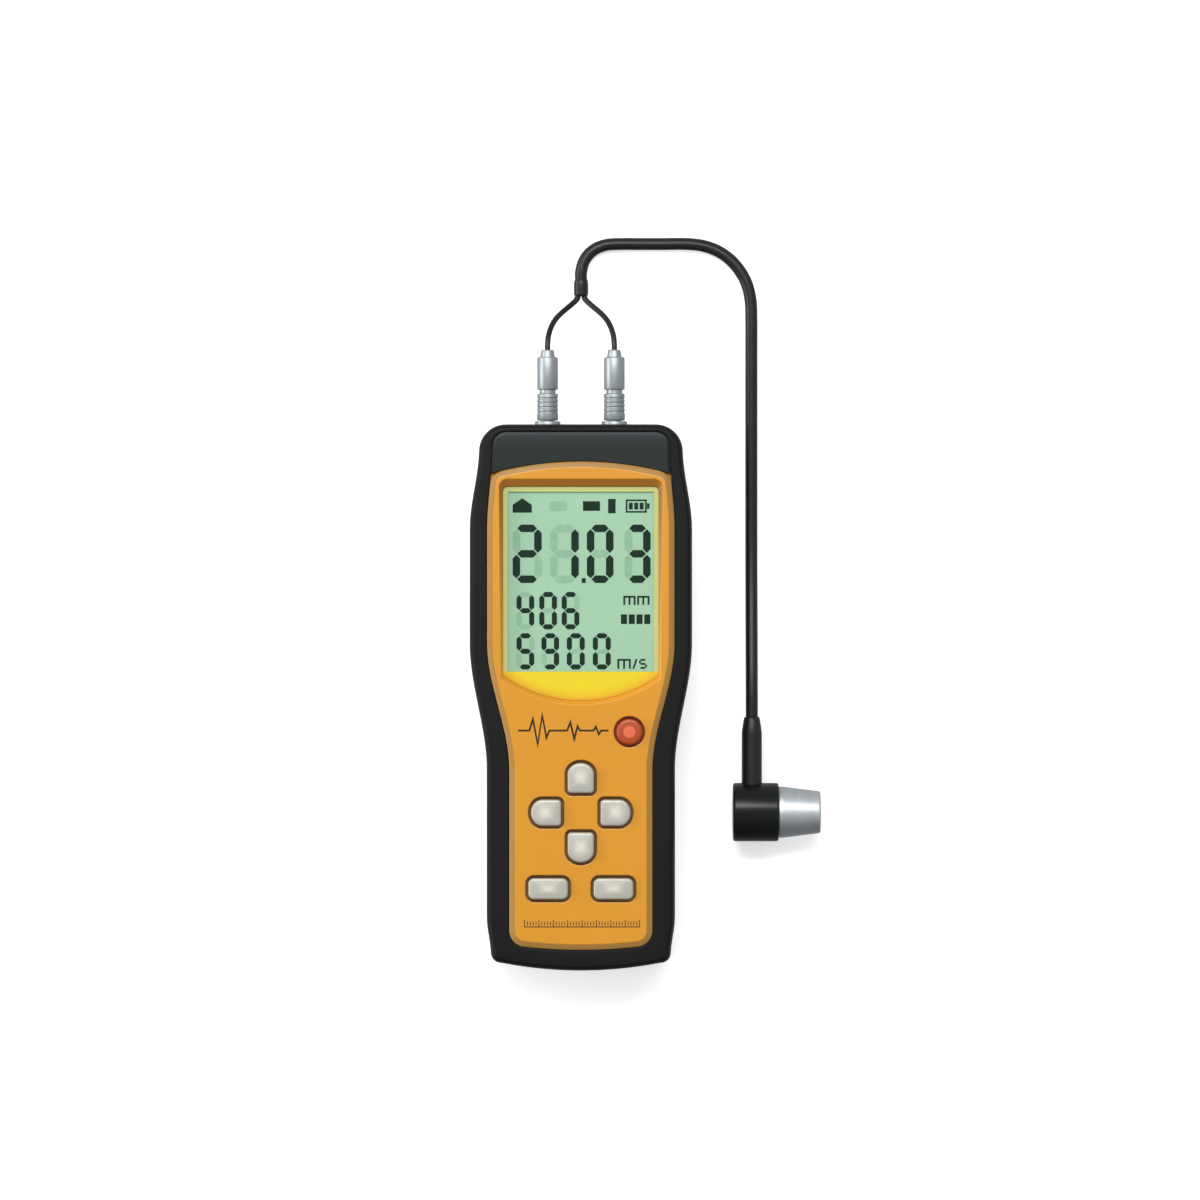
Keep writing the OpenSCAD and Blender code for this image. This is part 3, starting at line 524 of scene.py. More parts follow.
# cords: the routes of the solids
leads = {
    "diameter": 1.9, "exit": (11.2, 116.6, 16.0), "colour": srgb(22, 23, 25),
    "route": [(11.2, 112.2, 16), (11.2, 115.4, 16), (11.2, 118.4, 15.8), (10.9, 121.4, 14.8),
              (10, 124.4, 12.8), (8.6, 127, 10.2), (6.7, 129.2, 7.4), (4.6, 131.1, 5), (2.9, 132.6, 3.5),
              (1.7, 133.8, 2.75), (1.15, 134.8, 2.4), (1.15, 136, 2.4), (1.15, 138, 2.4)],
}
mainCord = {
    "diameter": 4.1, "exit": (0.0, 140.8, 2.4), "colour": srgb(21, 22, 23), "runSteps": 8,
    "bend": [(0, 140.8, 0.35), (0, 143.4, 0.35), (1.2, 147.4, 0.2), (4, 150.6, 0.1), (8, 152.4, 0),
             (12.5, 152.8, 0), (20, 152.8, 0), (28, 152.8, 0), (36, 152.8, 0), (42, 152, 0), (47.6, 149.6, 0),
             (52.2, 145.6, 0), (55.6, 140.2, 0), (57.2, 134, 0), (57.5, 126.4, 0)],
    "rise": [(57.5, 54, 0.1), (57.5, 45, 0.6), (57.5, 36, 1.6), (57.5, 27, 3.1), (57.5, 18, 4.9),
             (57.5, 9, 6.6), (57.5, 1, 7.6), (57.5, -6.7, 7.8)],
}
jacket = {
    "shader": {"Roughness": 0.36, "Specular_IOR_Level": 0.4}, "cloud": (260.0, 4.0), "tones": (0.8, 1.35),
    "glossSpan": 0.16, "gloss": 0.28, "grain": (2600.0, 2.0, 0.12, 0.00008),
}


def cordCurve(name, route, diameter):
    data = bpy.data.curves.new(name, "CURVE")
    data.dimensions = "3D"
    data.bevel_depth = diameter / 2 * mm
    data.bevel_resolution = steps["cord"]
    data.resolution_u = steps["cord"]
    data.use_fill_caps = True
    spline = data.splines.new("BEZIER")
    spline.bezier_points.add(len(route) - 1)
    for i, (point, place) in enumerate(zip(spline.bezier_points, route)):
        here = Vector(place)
        before = Vector(route[max(i - 1, 0)])
        after = Vector(route[min(i + 1, len(route) - 1)])
        along = (after - before).normalized()
        point.co = here * mm
        point.handle_left = (here - along * (here - before).length / 3) * mm
        point.handle_right = (here + along * (after - here).length / 3) * mm
    return linked(name, data)


def routeLength(route):
    return sum((Vector(b) - Vector(a)).length for a, b in zip(route, route[1:]))


def mainRoute():
    half = mainCord["diameter"] / 2
    start, end = Vector(mainCord["bend"][-1]), Vector(mainCord["rise"][0])
    shares = [i / mainCord["runSteps"] for i in range(1, mainCord["runSteps"])]
    run = [(start.x, start.y + (end.y - start.y) * share, 0) for share in shares]
    return [(x, y, rise + half) for x, y, rise in mainCord["bend"] + run + mainCord["rise"]]


leadJacket = cloudedFinish("leadJacket", leads["colour"], jacket)
cordJacket = cloudedFinish("cordJacket", mainCord["colour"], jacket)
leadPieces = []
for side, name in ((-1, "Left"), (1, "Right")):
    route = [(side * x, y, z) for x, y, z in leads["route"]]
    piece = cordCurve("lead" + name, route, leads["diameter"])
    finished(piece, leadJacket, "probe_lead", "wire_jacket", "lead_" + name.lower())
    leadPieces.append((piece, side, routeLength(route)))
cordPiece = cordCurve("probeCord", mainRoute(), mainCord["diameter"])
finished(cordPiece, cordJacket, "probe_lead", "cord_jacket", "probe_cord")
print("cords made:", round(routeLength(mainRoute())), "mm of probe cord")


# rubber boot: profiles of (inset, height) and (inset, drop below the lip)
boot = {
    "colour": srgb(10, 11, 12), "crease": 50, "holeX": 11.2, "holeZ": 16.0, "holeR": 4.65, "holeLength": 8.0,
    "holeBack": 5.0, "notchHalf": 16.45, "notchTop": 4.85, "notchOut": 2.0, "notchUnder": 1.0, "notchIn": 1.0,
    "outside": [(8.0, 0.0), (5.0, 0.0), (3.2, 0.0), (2.5, 0.22), (1.9, 0.65), (1.4, 1.2), (0.8, 2.2),
                (0.3, 3.4), (0.07, 4.7), (0.0, 6.0), (0.0, 10.0), (0.0, 15.0), (0.0, 20.0)],
    "shoulder": [(0.0, 5.0), (0.06, 3.7), (0.25, 2.4), (0.5, 1.4), (0.8, 0.7), (1.1, 0.28), (1.45, 0.05),
                 (1.9, 0.0)],
    "lip": [(0.9, 0.0), (0.5, 0.0), (0.27, 0.06), (0.15, 0.22)],
    "look": {"shader": {"Roughness": 0.5, "Specular_IOR_Level": 0.2}, "cloud": (38.0, 5.0),
             "tones": (0.75, 1.5), "glossSpan": 0.22, "gloss": 0.4, "grain": (1500.0, 3.0, 0.22, 0.00012)},
}


def makeBoot():
    skin = Skin()
    wall, lip, reach = plan["bootWall"], plan["backLip"], plan["halfLength"]
    inside = [(wall, lipUnder), (wall, wall), (lip, wall)]
    loops = [skin.loop(bootLoop(inset), z) for inset, z in boot["outside"]]
    loops += [skin.loop(bootLoop(inset), lipZ - drop) for inset, drop in boot["shoulder"]]
    loops += [skin.loop(panelLoop(-out), lipZ - drop) for out, drop in boot["lip"]]
    loops.append(skin.loop(panelLoop(-plan["bootGap"]), lipUnder))
    loops += [skin.loop(bootLoop(inset), z) for inset, z in inside]
    skin.strips(loops, closed=True)
    piece = skin.make("bootShell")
    low = (-boot["notchHalf"], -reach - boot["notchOut"], -boot["notchUnder"])
    high = (boot["notchHalf"], lip - reach + boot["notchIn"], boot["notchTop"])
    cutAway(piece, block("doorNotch", low, high))
    bore = [(0, 0), (boot["holeR"], 0), (boot["holeR"], boot["holeLength"]), (0, boot["holeLength"])]
    for side in (-1, 1):
        place = (side * boot["holeX"], reach - boot["holeBack"], boot["holeZ"])
        cutAway(piece, turned("socketHole", bore, place))
    return crisp(piece, boot["crease"])


bootRubber = cloudedFinish("bootRubber", boot["colour"], boot["look"])
finished(makeBoot(), bootRubber, "gauge", "boot_rubber", "rubber_boot")
print("boot made")


# orange front case: rim and key walls as (inset or growth, drop), recess as (growth, drop, lift)
face = {
    # the rim and recess colours are painted shade, on the rounded rim and in the window recess
    "colour": srgb(216, 146, 20), "rim": srgb(168, 124, 54), "recess": srgb(158, 100, 22), "crease": 40,
    "flatEdge": 2.3, "rimWide": 1.9,
    "rimProfile": [(0.0, 0.95), (0.08, 0.78), (0.3, 0.65), (1.1, 0.36), (1.8, 0.09), (2.0, 0.02),
                   (2.15, 0.0)],
    "keyGap": 0.9, "keyWall": [(0.6, 0.0), (0.25, 0.0), (0.08, 0.06), (0.0, 0.22)],
    "arrow": (8.9, 10.2), "arrowRise": 3.8, "arrowCorner": 1.3, "padY": -38.4, "padReach": 11.6,
    "function": (13.4, 7.2), "functionCorner": 2.0, "functionPlace": (10.9, -63.8),
    "powerR": 4.3, "powerPlace": (16.2, -11.4),
    "windowHalf": 26.0, "windowTop": 70.5, "windowSide": 7.4, "windowLow": -1.0, "windowCorner": 1.5,
    "view": (24.4, 8.7, 68.8), "viewEdge": 0.5, "viewCorner": 1.0,
    "recessProfile": [(1.65, 0.0, 1.3), (1.5, 0.0, 1.3), (1.38, 0.04, 1.28), (1.25, 0.14, 1.2),
                      (0.25, 1.1, 0.1), (0.15, 1.2, 0.0)],
    "shadeRing": 3, "shadeFrom": 1.0, "shadeRun": 6.0,
    "look": {"shader": {"Roughness": 0.38, "Coat_Weight": 0.12}, "cloud": (30.0, 4.0), "tones": (0.94, 1.06),
             "glossSpan": 0.14, "gloss": 0.32, "grain": (1900.0, 2.0, 0.1, 0.00008)},
}
windowSag = face["windowSide"] - face["windowLow"]
windowR = (face["windowHalf"] * face["windowHalf"] + windowSag * windowSag) / (2 * windowSag)


def turnedBy(points, degrees, place):
    c, s = math.cos(math.radians(degrees)), math.sin(math.radians(degrees))
    return [(place[0] + x * c - y * s, place[1] + x * s + y * c) for x, y in points]


def roundedPlan(w, h, r):
    x, y = w / 2 - r, h / 2 - r
    corners = []
    for start, centre in ((0, (x, y)), (90, (-x, y)), (180, (-x, -y)), (270, (x, -y))):
        corners += arc(centre, r, start, start + 90, steps["small"])
    return corners


def arrowPlan(grow):
    half, length = face["arrow"][0] / 2, face["arrow"][1]
    r, rise = face["arrowCorner"], face["arrowRise"]
    lowY, domeY = r - length / 2, length / 2 - rise
    dome = [math.radians(180 * i / steps["dome"]) for i in range(steps["dome"] + 1)]
    top = [((half + grow) * math.cos(a), domeY + (rise + grow) * math.sin(a)) for a in dome]
    left = arc((r - half, lowY), r + grow, 180, 270, steps["small"])
    return top + left + arc((half - r, lowY), r + grow, 270, 360, steps["small"])


def functionPlan(grow):
    w, h = face["function"]
    return roundedPlan(w + 2 * grow, h + 2 * grow, face["functionCorner"] + grow)


def powerPlan(grow):
    return arc((0, 0), face["powerR"] + grow, 0, 360 - 360 / steps["ring"], steps["ring"] - 1)


def windowPlan(grow, lift=0.0):
    r, bowY = face["windowCorner"], face["windowLow"] + windowR
    sweep = math.degrees(math.asin(face["windowHalf"] / windowR))
    bend = arc((face["windowHalf"] - r, face["windowTop"] + lift - r), r + grow, 0, 90, steps["small"])
    return arc((0, bowY), windowR + grow, -90 - sweep, -90 + sweep, steps["bow"]) + bend + mirrored(bend)


# each key: plan, turn and place
padY, padReach = face["padY"], face["padReach"]
keys = {
    "key_up": (arrowPlan, 0, (0.0, padY + padReach)),
    "key_left": (arrowPlan, 90, (-padReach, padY)),
    "key_down": (arrowPlan, 180, (0.0, padY - padReach)),
    "key_right": (arrowPlan, 270, (padReach, padY)),
    "key_function_left": (functionPlan, 0, (-face["functionPlace"][0], face["functionPlace"][1])),
    "key_function_right": (functionPlan, 0, face["functionPlace"]),
    "key_power": (powerPlan, 0, face["powerPlace"]),
}


def makeFace():
    skin = Skin()
    inner, wall = plan["inner"], plan["caseWall"]
    outside = [(skirtLoop(inner), splitZ), (skirtLoop(inner), shoulderZ), (faceLoop(0), shoulderZ)]
    loops = [skin.loop(points, z) for points, z in outside]
    for inset, drop in face["rimProfile"]:
        # painted shade: the rounded rim takes the rim colour through its tone
        loops.append(skin.loop(faceLoop(inset), faceZ - drop, float(inset < face["rimWide"])))
    loops.append(skin.loop(faceLoop(face["flatEdge"]), faceZ))
    skin.strips(loops)
    inside = [(faceLoop(wall), ledgeZ), (faceLoop(wall), shoulderZ - wall),
              (skirtLoop(inner + wall), shoulderZ - wall), (skirtLoop(inner + wall), splitZ)]
    under = [skin.loop(points, z) for points, z in inside]
    skin.strips(under + [loops[0]])
    topHoles, lowHoles = [], []
    walls = [(face["keyGap"] + grow, faceZ - drop) for grow, drop in face["keyWall"]]
    walls.append((face["keyGap"], ledgeZ))
    for shape, turn, place in keys.values():
        rings = [skin.loop(turnedBy(shape(grow), turn, place), z) for grow, z in walls]
        skin.strips(rings)
        topHoles.append(rings[0])
        lowHoles.append(rings[-1])
    recess = [skin.loop(windowPlan(grow, lift), faceZ - drop) for grow, drop, lift in face["recessProfile"]]
    recess.append(skin.loop(windowPlan(face["recessProfile"][-1][0]), filmZ))
    # painted shade: the recess rings darken towards the sockets, and the ledge round the LCD takes the full
    # shade
    for ring in recess[face["shadeRing"]:]:  # the recess is darker towards the sockets
        for i in ring:
            up = skin.points[i].y / mm - face["windowSide"] - face["shadeFrom"]
            skin.tones[i] = -smoothStep(up / face["shadeRun"])
    skin.strips(recess)
    half, low, high = face["view"]
    edge = face["viewEdge"]
    opening = roundedPlan(2 * (half + edge), high - low + 2 * edge, face["viewCorner"])
    opening = turnedBy(opening, 0, (0, (low + high) / 2))
    ledge = [skin.loop(opening, filmZ, -1.0), skin.loop(opening, ledgeZ, -1.0)]
    skin.strips(ledge)
    skin.sheet(recess[-1], [ledge[0]])
    skin.sheet(loops[-1], topHoles + [recess[0]])
    skin.sheet(under[0], lowHoles + [ledge[1]], down=True)
    return crisp(skin.make("frontFace"), face["crease"])


# tone: above 0 for painted shade on the rounded rim, below 0 for painted shade in the window recess
def orangeFinish():
    look = face["look"]
    finish = Finish("orangePlastic", **look["shader"])
    tone = finish.attribute("tone")
    cloud = finish.noise(*look["cloud"])
    base = finish.tinted(cloud, face["colour"], look["tones"])
    # painted shade on the rim, then painted shade in the recess, over the orange
    rimmed = finish.mix(tone.atLeast(0.0), base, face["rim"])
    finish.feed("Base Color", finish.mix((tone * -1.0).atLeast(0.0), rimmed, face["recess"]))
    finish.surface(cloud, look)
    return finish


finished(makeFace(), orangeFinish(), "gauge", "orange_plastic", "front_case")
print("front case made")


# keys: flange in the case, straight sides, rolled edge and a crowned top
keyCap = {
    "flangeDrop": 1.2, "flangeHeight": 1.1, "flangeReach": 1.4, "crownR": 45.0, "crease": 50,
    "edge": [(0.0, 0.75), (-0.05, 0.48), (-0.16, 0.26), (-0.34, 0.1), (-0.6, 0.02), (-0.95, 0.0)],
    "inward": (0.87, 0.73, 0.58, 0.43, 0.28, 0.13), "edgeTone": 0.5, "toneDrop": 0.5, "glowR": 4.2,
    # painted shade on the key sides and flange, a painted highlight on the middle of the top
    "skirt": srgb(150, 122, 82), "grey": srgb(186, 186, 176), "bright": srgb(228, 223, 209),
    "red": srgb(176, 66, 14), "pale": srgb(226, 106, 66), "paleR": 2.0 * mm, "paleSharp": 2500.0,
    "greyLook": {"shader": {"Metallic": 0.2, "Roughness": 0.34}, "cloud": (140.0, 4.0), "glossSpan": 0.16,
                 "gloss": 0.26, "grain": (2400.0, 2.0, 0.06, 0.00005)},
    "redLook": {"shader": {"Roughness": 0.36, "Coat_Weight": 0.2}, "cloud": (160.0, 4.0), "glossSpan": 0.16,
                "gloss": 0.28, "grain": (2200.0, 2.0, 0.06, 0.00005)},
}


def makeKey(name, shape, turn, place):
    skin = Skin()
    crownR, edgeTone = keyCap["crownR"], keyCap["edgeTone"]

    def ring(flatPoints, drop, tone):
        loop = skin.loop(flatPoints, 0.0, tone)
        for i, (x, y) in zip(loop, flatPoints):
            far = (x - place[0]) ** 2 + (y - place[1]) ** 2
            skin.points[i].z = (keyTop - crownR + math.sqrt(crownR ** 2 - far) - drop) * mm
        return loop

    low = ledgeZ - keyCap["flangeDrop"]
    step = low + keyCap["flangeHeight"]
    wide = turnedBy(shape(keyCap["flangeReach"]), turn, place)
    straight = turnedBy(shape(0.0), turn, place)
    loops = [skin.loop(wide, low), skin.loop(wide, step), skin.loop(straight, step)]
    skin.fan(loops[0][::-1], (place[0], place[1], low))
    for grow, drop in keyCap["edge"]:
        # painted shade: the tone falls from the grey top to the side colour down the rolled edge
        tone = edgeTone * max(0.0, 1.0 - drop / keyCap["toneDrop"])
        loops.append(ring(turnedBy(shape(grow), turn, place), drop, tone))
    last = shape(keyCap["edge"][-1][0])
    for share in keyCap["inward"]:
        inner = turnedBy([(x * share, y * share) for x, y in last], turn, place)
        loops.append(ring(inner, 0.0, edgeTone))
        # painted highlight: a round lighter patch at the middle of the top
        for i, (x, y) in zip(loops[-1], inner):  # lighter in a round patch at the middle
            away = math.hypot(x - place[0], y - place[1]) / keyCap["glowR"]
            skin.tones[i] = edgeTone + (1.0 - edgeTone) * smoothStep(1.0 - away)
    skin.strips(loops)
    skin.fan(loops[-1], (place[0], place[1], keyTop), 1.0)
    return crisp(skin.make(name), keyCap["crease"])


# grey keys: painted shade on the sides, painted highlight at the middle
def greyKeyFinish():
    look = keyCap["greyLook"]
    finish = Finish("keyGrey", **look["shader"])
    tone = finish.attribute("tone") / keyCap["edgeTone"]
    side = finish.mix(tone.atMost(1.0), keyCap["skirt"], keyCap["grey"])
    finish.feed("Base Color", finish.mix((tone - 1.0).atLeast(0.0), side, keyCap["bright"]))
    finish.surface(finish.noise(*look["cloud"]), look)
    return finish


def redKeyFinish():
    look = keyCap["redLook"]
    finish = Finish("keyRed", **look["shader"])
    x = finish.axis(0) - face["powerPlace"][0] * mm
    y = finish.axis(1) - face["powerPlace"][1] * mm
    away = (x * x + y * y) ** 0.5
    middle = ((keyCap["paleR"] - away) * keyCap["paleSharp"] + 0.5).share()
    finish.feed("Base Color", finish.mix(middle, keyCap["red"], keyCap["pale"]))
    finish.surface(finish.noise(*look["cloud"]), look)
    return finish


greyKey = greyKeyFinish()
redKey = redKeyFinish()
for node, (shape, turn, place) in keys.items():
    words = node.split("_")
    piece = makeKey(words[0] + "".join(w.title() for w in words[1:]), shape, turn, place)
    red = node == "key_power"
    finished(piece, redKey if red else greyKey, node, "key_red" if red else "key_grey", node)
print("keys made")


# sockets and plugs, turned metal
plug = {
    "x": 11.2, "z": 16.0, "capY": 89.05, "plugY": 92.9, "nutY": 103.2, "sleeveLength": 9.0,
    "socket": [(0, -10.6), (3.8, -10.6), (3.8, 0.05), (4.15, 0.05), (4.3, 0.2), (4.3, 3.1), (4.22, 3.4),
               (4.0, 3.55), (2.75, 3.55), (2.6, 3.4), (2.6, -6.45), (0.5, -6.45), (0.5, -1.6), (0.35, -1.45),
               (0, -1.45)],
    "core": [(1.3, -8.9), (2.2, -8.9), (2.4, -8.6), (2.4, 0), (2.7, 0), (2.7, 10.3), (2.2, 10.3), (2.2, 14.5),
             (1.0, 14.5), (1.0, 2.0), (1.3, 2.0)],
    "sleeveEnd": [(2.9, 0), (3.2, 0), (3.38, 0.08), (3.5, 0.3)], "ringStart": 2.4, "ringStep": 1.5,
    "rings": 4, "groove": [(0.0, 0.0), (0.12, 0.12), (0.16, 0.26), (0.16, 0.54), (0.12, 0.68), (0.0, 0.8)],
    "nut": [(2.3, 0), (3.2, 0), (3.38, 0.08), (3.5, 0.3), (3.5, 10.5), (3.4, 10.8), (3.2, 10.95), (2.9, 11.0),
            (2.5, 11.02), (2.2, 12.8), (2.08, 13.25), (1.9, 13.4), (1.07, 13.4), (1.07, 4.4), (2.3, 4.4)],
    "ribCount": 44, "ribLow": 0.5, "ribHigh": 2.1, "ribR": 0.1, "ribSides": 6, "ribSink": 0.06,
    "steel": srgb(158, 165, 168), "bright": srgb(168, 175, 178), "steelRough": 0.48, "brightRough": 0.44,
    "metallic": 0.75,
}
metal = {
    "streak": 900.0, "across": 40.0, "detail": 3.0, "tones": (0.93, 1.06), "glossSpan": 0.12,
    "glossUnder": 0.06, "strength": 0.03, "depth": 0.00002,
}


# fine lathe lines round the given axis
def metalFinish(name, colour, rough, along=1, metallic=1.0):
    finish = Finish(name, Metallic=metallic, Roughness=rough)
    scale = [metal["across"]] * 3
    scale[along] = metal["streak"]
    drawn = finish.node("ShaderNodeMapping", values={"Vector": finish.place(), "Scale": scale})
    lines = finish.noise(1.0, metal["detail"], drawn)
    finish.feed("Base Color", finish.tinted(lines, colour, metal["tones"]))
    finish.feed("Roughness", lines * metal["glossSpan"] + (rough - metal["glossUnder"]))
    finish.bump(lines, metal["strength"], metal["depth"])
    return finish


# geometry node tree with named inputs
class Nodes(Tree):
    def __init__(self, name, inputs):
        super().__init__(bpy.data.node_groups.new(name, "GeometryNodeTree"))
        sockets = self.tree.interface
        sockets.new_socket("Geometry", in_out="INPUT", socket_type="NodeSocketGeometry")
        sockets.new_socket("Geometry", in_out="OUTPUT", socket_type="NodeSocketGeometry")
        self.names = {}
        for label, kind in inputs.items():
            made = sockets.new_socket(label, in_out="INPUT", socket_type="NodeSocket" + kind)
            self.names[label] = made.identifier
        self.given = self.tree.nodes.new("NodeGroupInput")
        self.result = self.tree.nodes.new("NodeGroupOutput")

    def input(self, label):
        return Sock(self.tree, self.given.outputs[label])

    def close(self, geometry, finish):
        whole = self.node("GeometryNodeRealizeInstances", values={"Geometry": geometry})
        values = {"Geometry": whole, "Material": finish.material}
        dressed = self.node("GeometryNodeSetMaterial", values=values)
        self.tree.links.new(dressed.socket, self.result.inputs[0])

    def grow(self, name, **values):
        piece = plainMesh(name, [], [])
        modifier = piece.modifiers.new("grow", "NODES")
        modifier.node_group = self.tree
        for label, value in values.items():
            modifier[self.names[label]] = value
        settle(piece)
        return piece


# fine straight ribs round a sleeve
def ribTree(finish):
    nodes = Nodes("sleeveRibs", {"count": "Int", "ringRadius": "Float", "ribRadius": "Float",
                                 "ribLength": "Float", "place": "Vector"})
    ring = nodes.node("GeometryNodeMeshCircle", values={
        "Vertices": nodes.input("count"), "Radius": nodes.input("ringRadius")})
    rib = nodes.node("GeometryNodeMeshCylinder", values={
        "Vertices": plug["ribSides"], "Radius": nodes.input("ribRadius"), "Depth": nodes.input("ribLength")})
    many = nodes.node("GeometryNodeInstanceOnPoints", values={"Points": ring, "Instance": rib})
    lain = nodes.node("GeometryNodeTransform", values={
        "Geometry": many, "Translation": nodes.input("place"), "Rotation": (math.radians(-90), 0.0, 0.0)})
    nodes.close(lain, finish)
    return nodes


def sleeveProfile():
    profile = list(plug["sleeveEnd"])
    outer = profile[-1][0]
    for i in range(plug["rings"]):
        start = plug["ringStart"] + plug["ringStep"] * i
        profile += [(outer - depth, start + reach) for depth, reach in plug["groove"]]
    return profile + [(r, plug["sleeveLength"] - reach) for r, reach in reversed(plug["sleeveEnd"])], outer


def makePlug(side, name, ribs):
    x, z = side * plug["x"], plug["z"]
    low = name.lower()
    seat = (x, plug["plugY"], z)
    socket = turned("socket" + name, plug["socket"], (x, plug["capY"], z))
    finished(socket, plugBright, "gauge", "nickel", "socket_" + low)
    core = turned("plugCore" + name, plug["core"], seat, closed=True)
    finished(core, plugBright, "probe_lead", "nickel", "plug_core_" + low)
    profile, outer = sleeveProfile()
    sleeve = turned("plugSleeve" + name, profile, seat, closed=True)
    finished(sleeve, plugSteel, "plug_sleeve_" + low, "nickel", "plug_sleeve_" + low)
    middle = plug["plugY"] + (plug["ribLow"] + plug["ribHigh"]) / 2
    rib = ribs.grow("sleeveRibs" + name, count=plug["ribCount"], ringRadius=(outer - plug["ribSink"]) * mm,
                    ribRadius=plug["ribR"] * mm, ribLength=(plug["ribHigh"] - plug["ribLow"]) * mm,
                    place=(x * mm, middle * mm, z * mm))
    finished(rib, plugSteel, "plug_sleeve_" + low, "nickel")
    nut = turned("plugNut" + name, plug["nut"], (x, plug["nutY"], z), closed=True)
    finished(nut, plugBright, "probe_lead", "nickel", "plug_nut_" + low)
    return [core, sleeve, rib, nut]


plugSteel = metalFinish("plugSteel", plug["steel"], plug["steelRough"], metallic=plug["metallic"])
plugBright = metalFinish("plugBright", plug["bright"], plug["brightRough"], metallic=plug["metallic"])
ribs = ribTree(plugSteel)
plugPieces = {side: makePlug(side, name, ribs) for side, name in ((-1, "Left"), (1, "Right"))}
print("sockets and plugs made")


# collar, strain relief and probe
probe = {
    "x": 51.1, "y": -38.8, "z": 9.85, "noseX": 66.5, "reliefX": 57.5, "reliefY": -31.95, "collarY": 135.1,
    "collarZ": 2.4, "sides": 96, "black": srgb(12, 14, 15), "silver": srgb(212, 219, 223), "noseRough": 0.44,
    "body": [(0, 0), (8.6, 0), (9.2, 0.08), (9.6, 0.28), (9.8, 0.6), (9.85, 1.0), (9.85, 14.7), (9.79, 15.0),
             (9.6, 15.25), (9.3, 15.38), (8.9, 15.4), (7.0, 15.4), (7.0, 12.2), (5.7, 12.2), (5.7, 2.3),
             (0, 2.3)],
    "nose": [(5.6, -3.1), (6.9, -3.1), (6.9, 0), (8.3, 0), (8.55, 0.08), (8.65, 0.35), (8.65, 1.45),
             (8.6, 1.75), (7.14, 13.3), (7.05, 13.75), (6.85, 14.0), (6.6, 14.1), (5.6, 14.1)],
    "relief": [(0, 0), (3.4, 0), (3.4, 19.6), (3.33, 20.6), (3.15, 21.8), (2.75, 24.3), (2.62, 24.9),
               (2.35, 25.2), (2.1, 25.25), (0, 25.25)],
    "collar": [(0, 0), (1.8, 0), (2.1, 0.15), (2.32, 0.45), (2.4, 0.9), (2.4, 4.0), (2.35, 4.7), (2.24, 5.3),
               (2.05, 5.7), (0, 5.7)],
    "look": {"shader": {"Roughness": 0.3, "Specular_IOR_Level": 0.3}, "cloud": (60.0, 4.0),
             "tones": (0.8, 1.3), "glossSpan": 0.12, "gloss": 0.22, "grain": (2100.0, 2.0, 0.1, 0.00008)},
}
blackPlastic = cloudedFinish("probePlastic", probe["black"], probe["look"])
noseSilver = metalFinish("noseSilver", probe["silver"], probe["noseRough"], 0)
collar = turned("splitCollar", probe["collar"], (0, probe["collarY"], probe["collarZ"]))
finished(collar, leadJacket, "probe_lead", "cord_jacket", "split_collar")
relief = turned("strainRelief", probe["relief"], (probe["reliefX"], probe["reliefY"], probe["z"]))
finished(relief, cordJacket, "probe_lead", "cord_jacket", "strain_relief")
bodyPlace = (probe["x"], probe["y"], probe["z"])
probeBody = turned("probeBody", probe["body"], bodyPlace, "X", probe["sides"])
finished(probeBody, blackPlastic, "probe_lead", "probe_plastic", "probe_body")
nosePlace = (probe["noseX"], probe["y"], probe["z"])
nose = turned("probeNose", probe["nose"], nosePlace, "X", probe["sides"], True)
finished(nose, noseSilver, "probe_lead", "nose_metal", "probe_nose")
for piece, side, length in leadPieces:
    x, y, z = leads["exit"]
    side * x * mm
    y * mm
    z * mm
    length * mm
    leads["diameter"] * mm
    plugPieces[side] + ([collar] if side < 0 else [])
[c * mm for c in mainCord["exit"]]
routeLength(mainRoute()) * mm
mainCord["diameter"] * mm


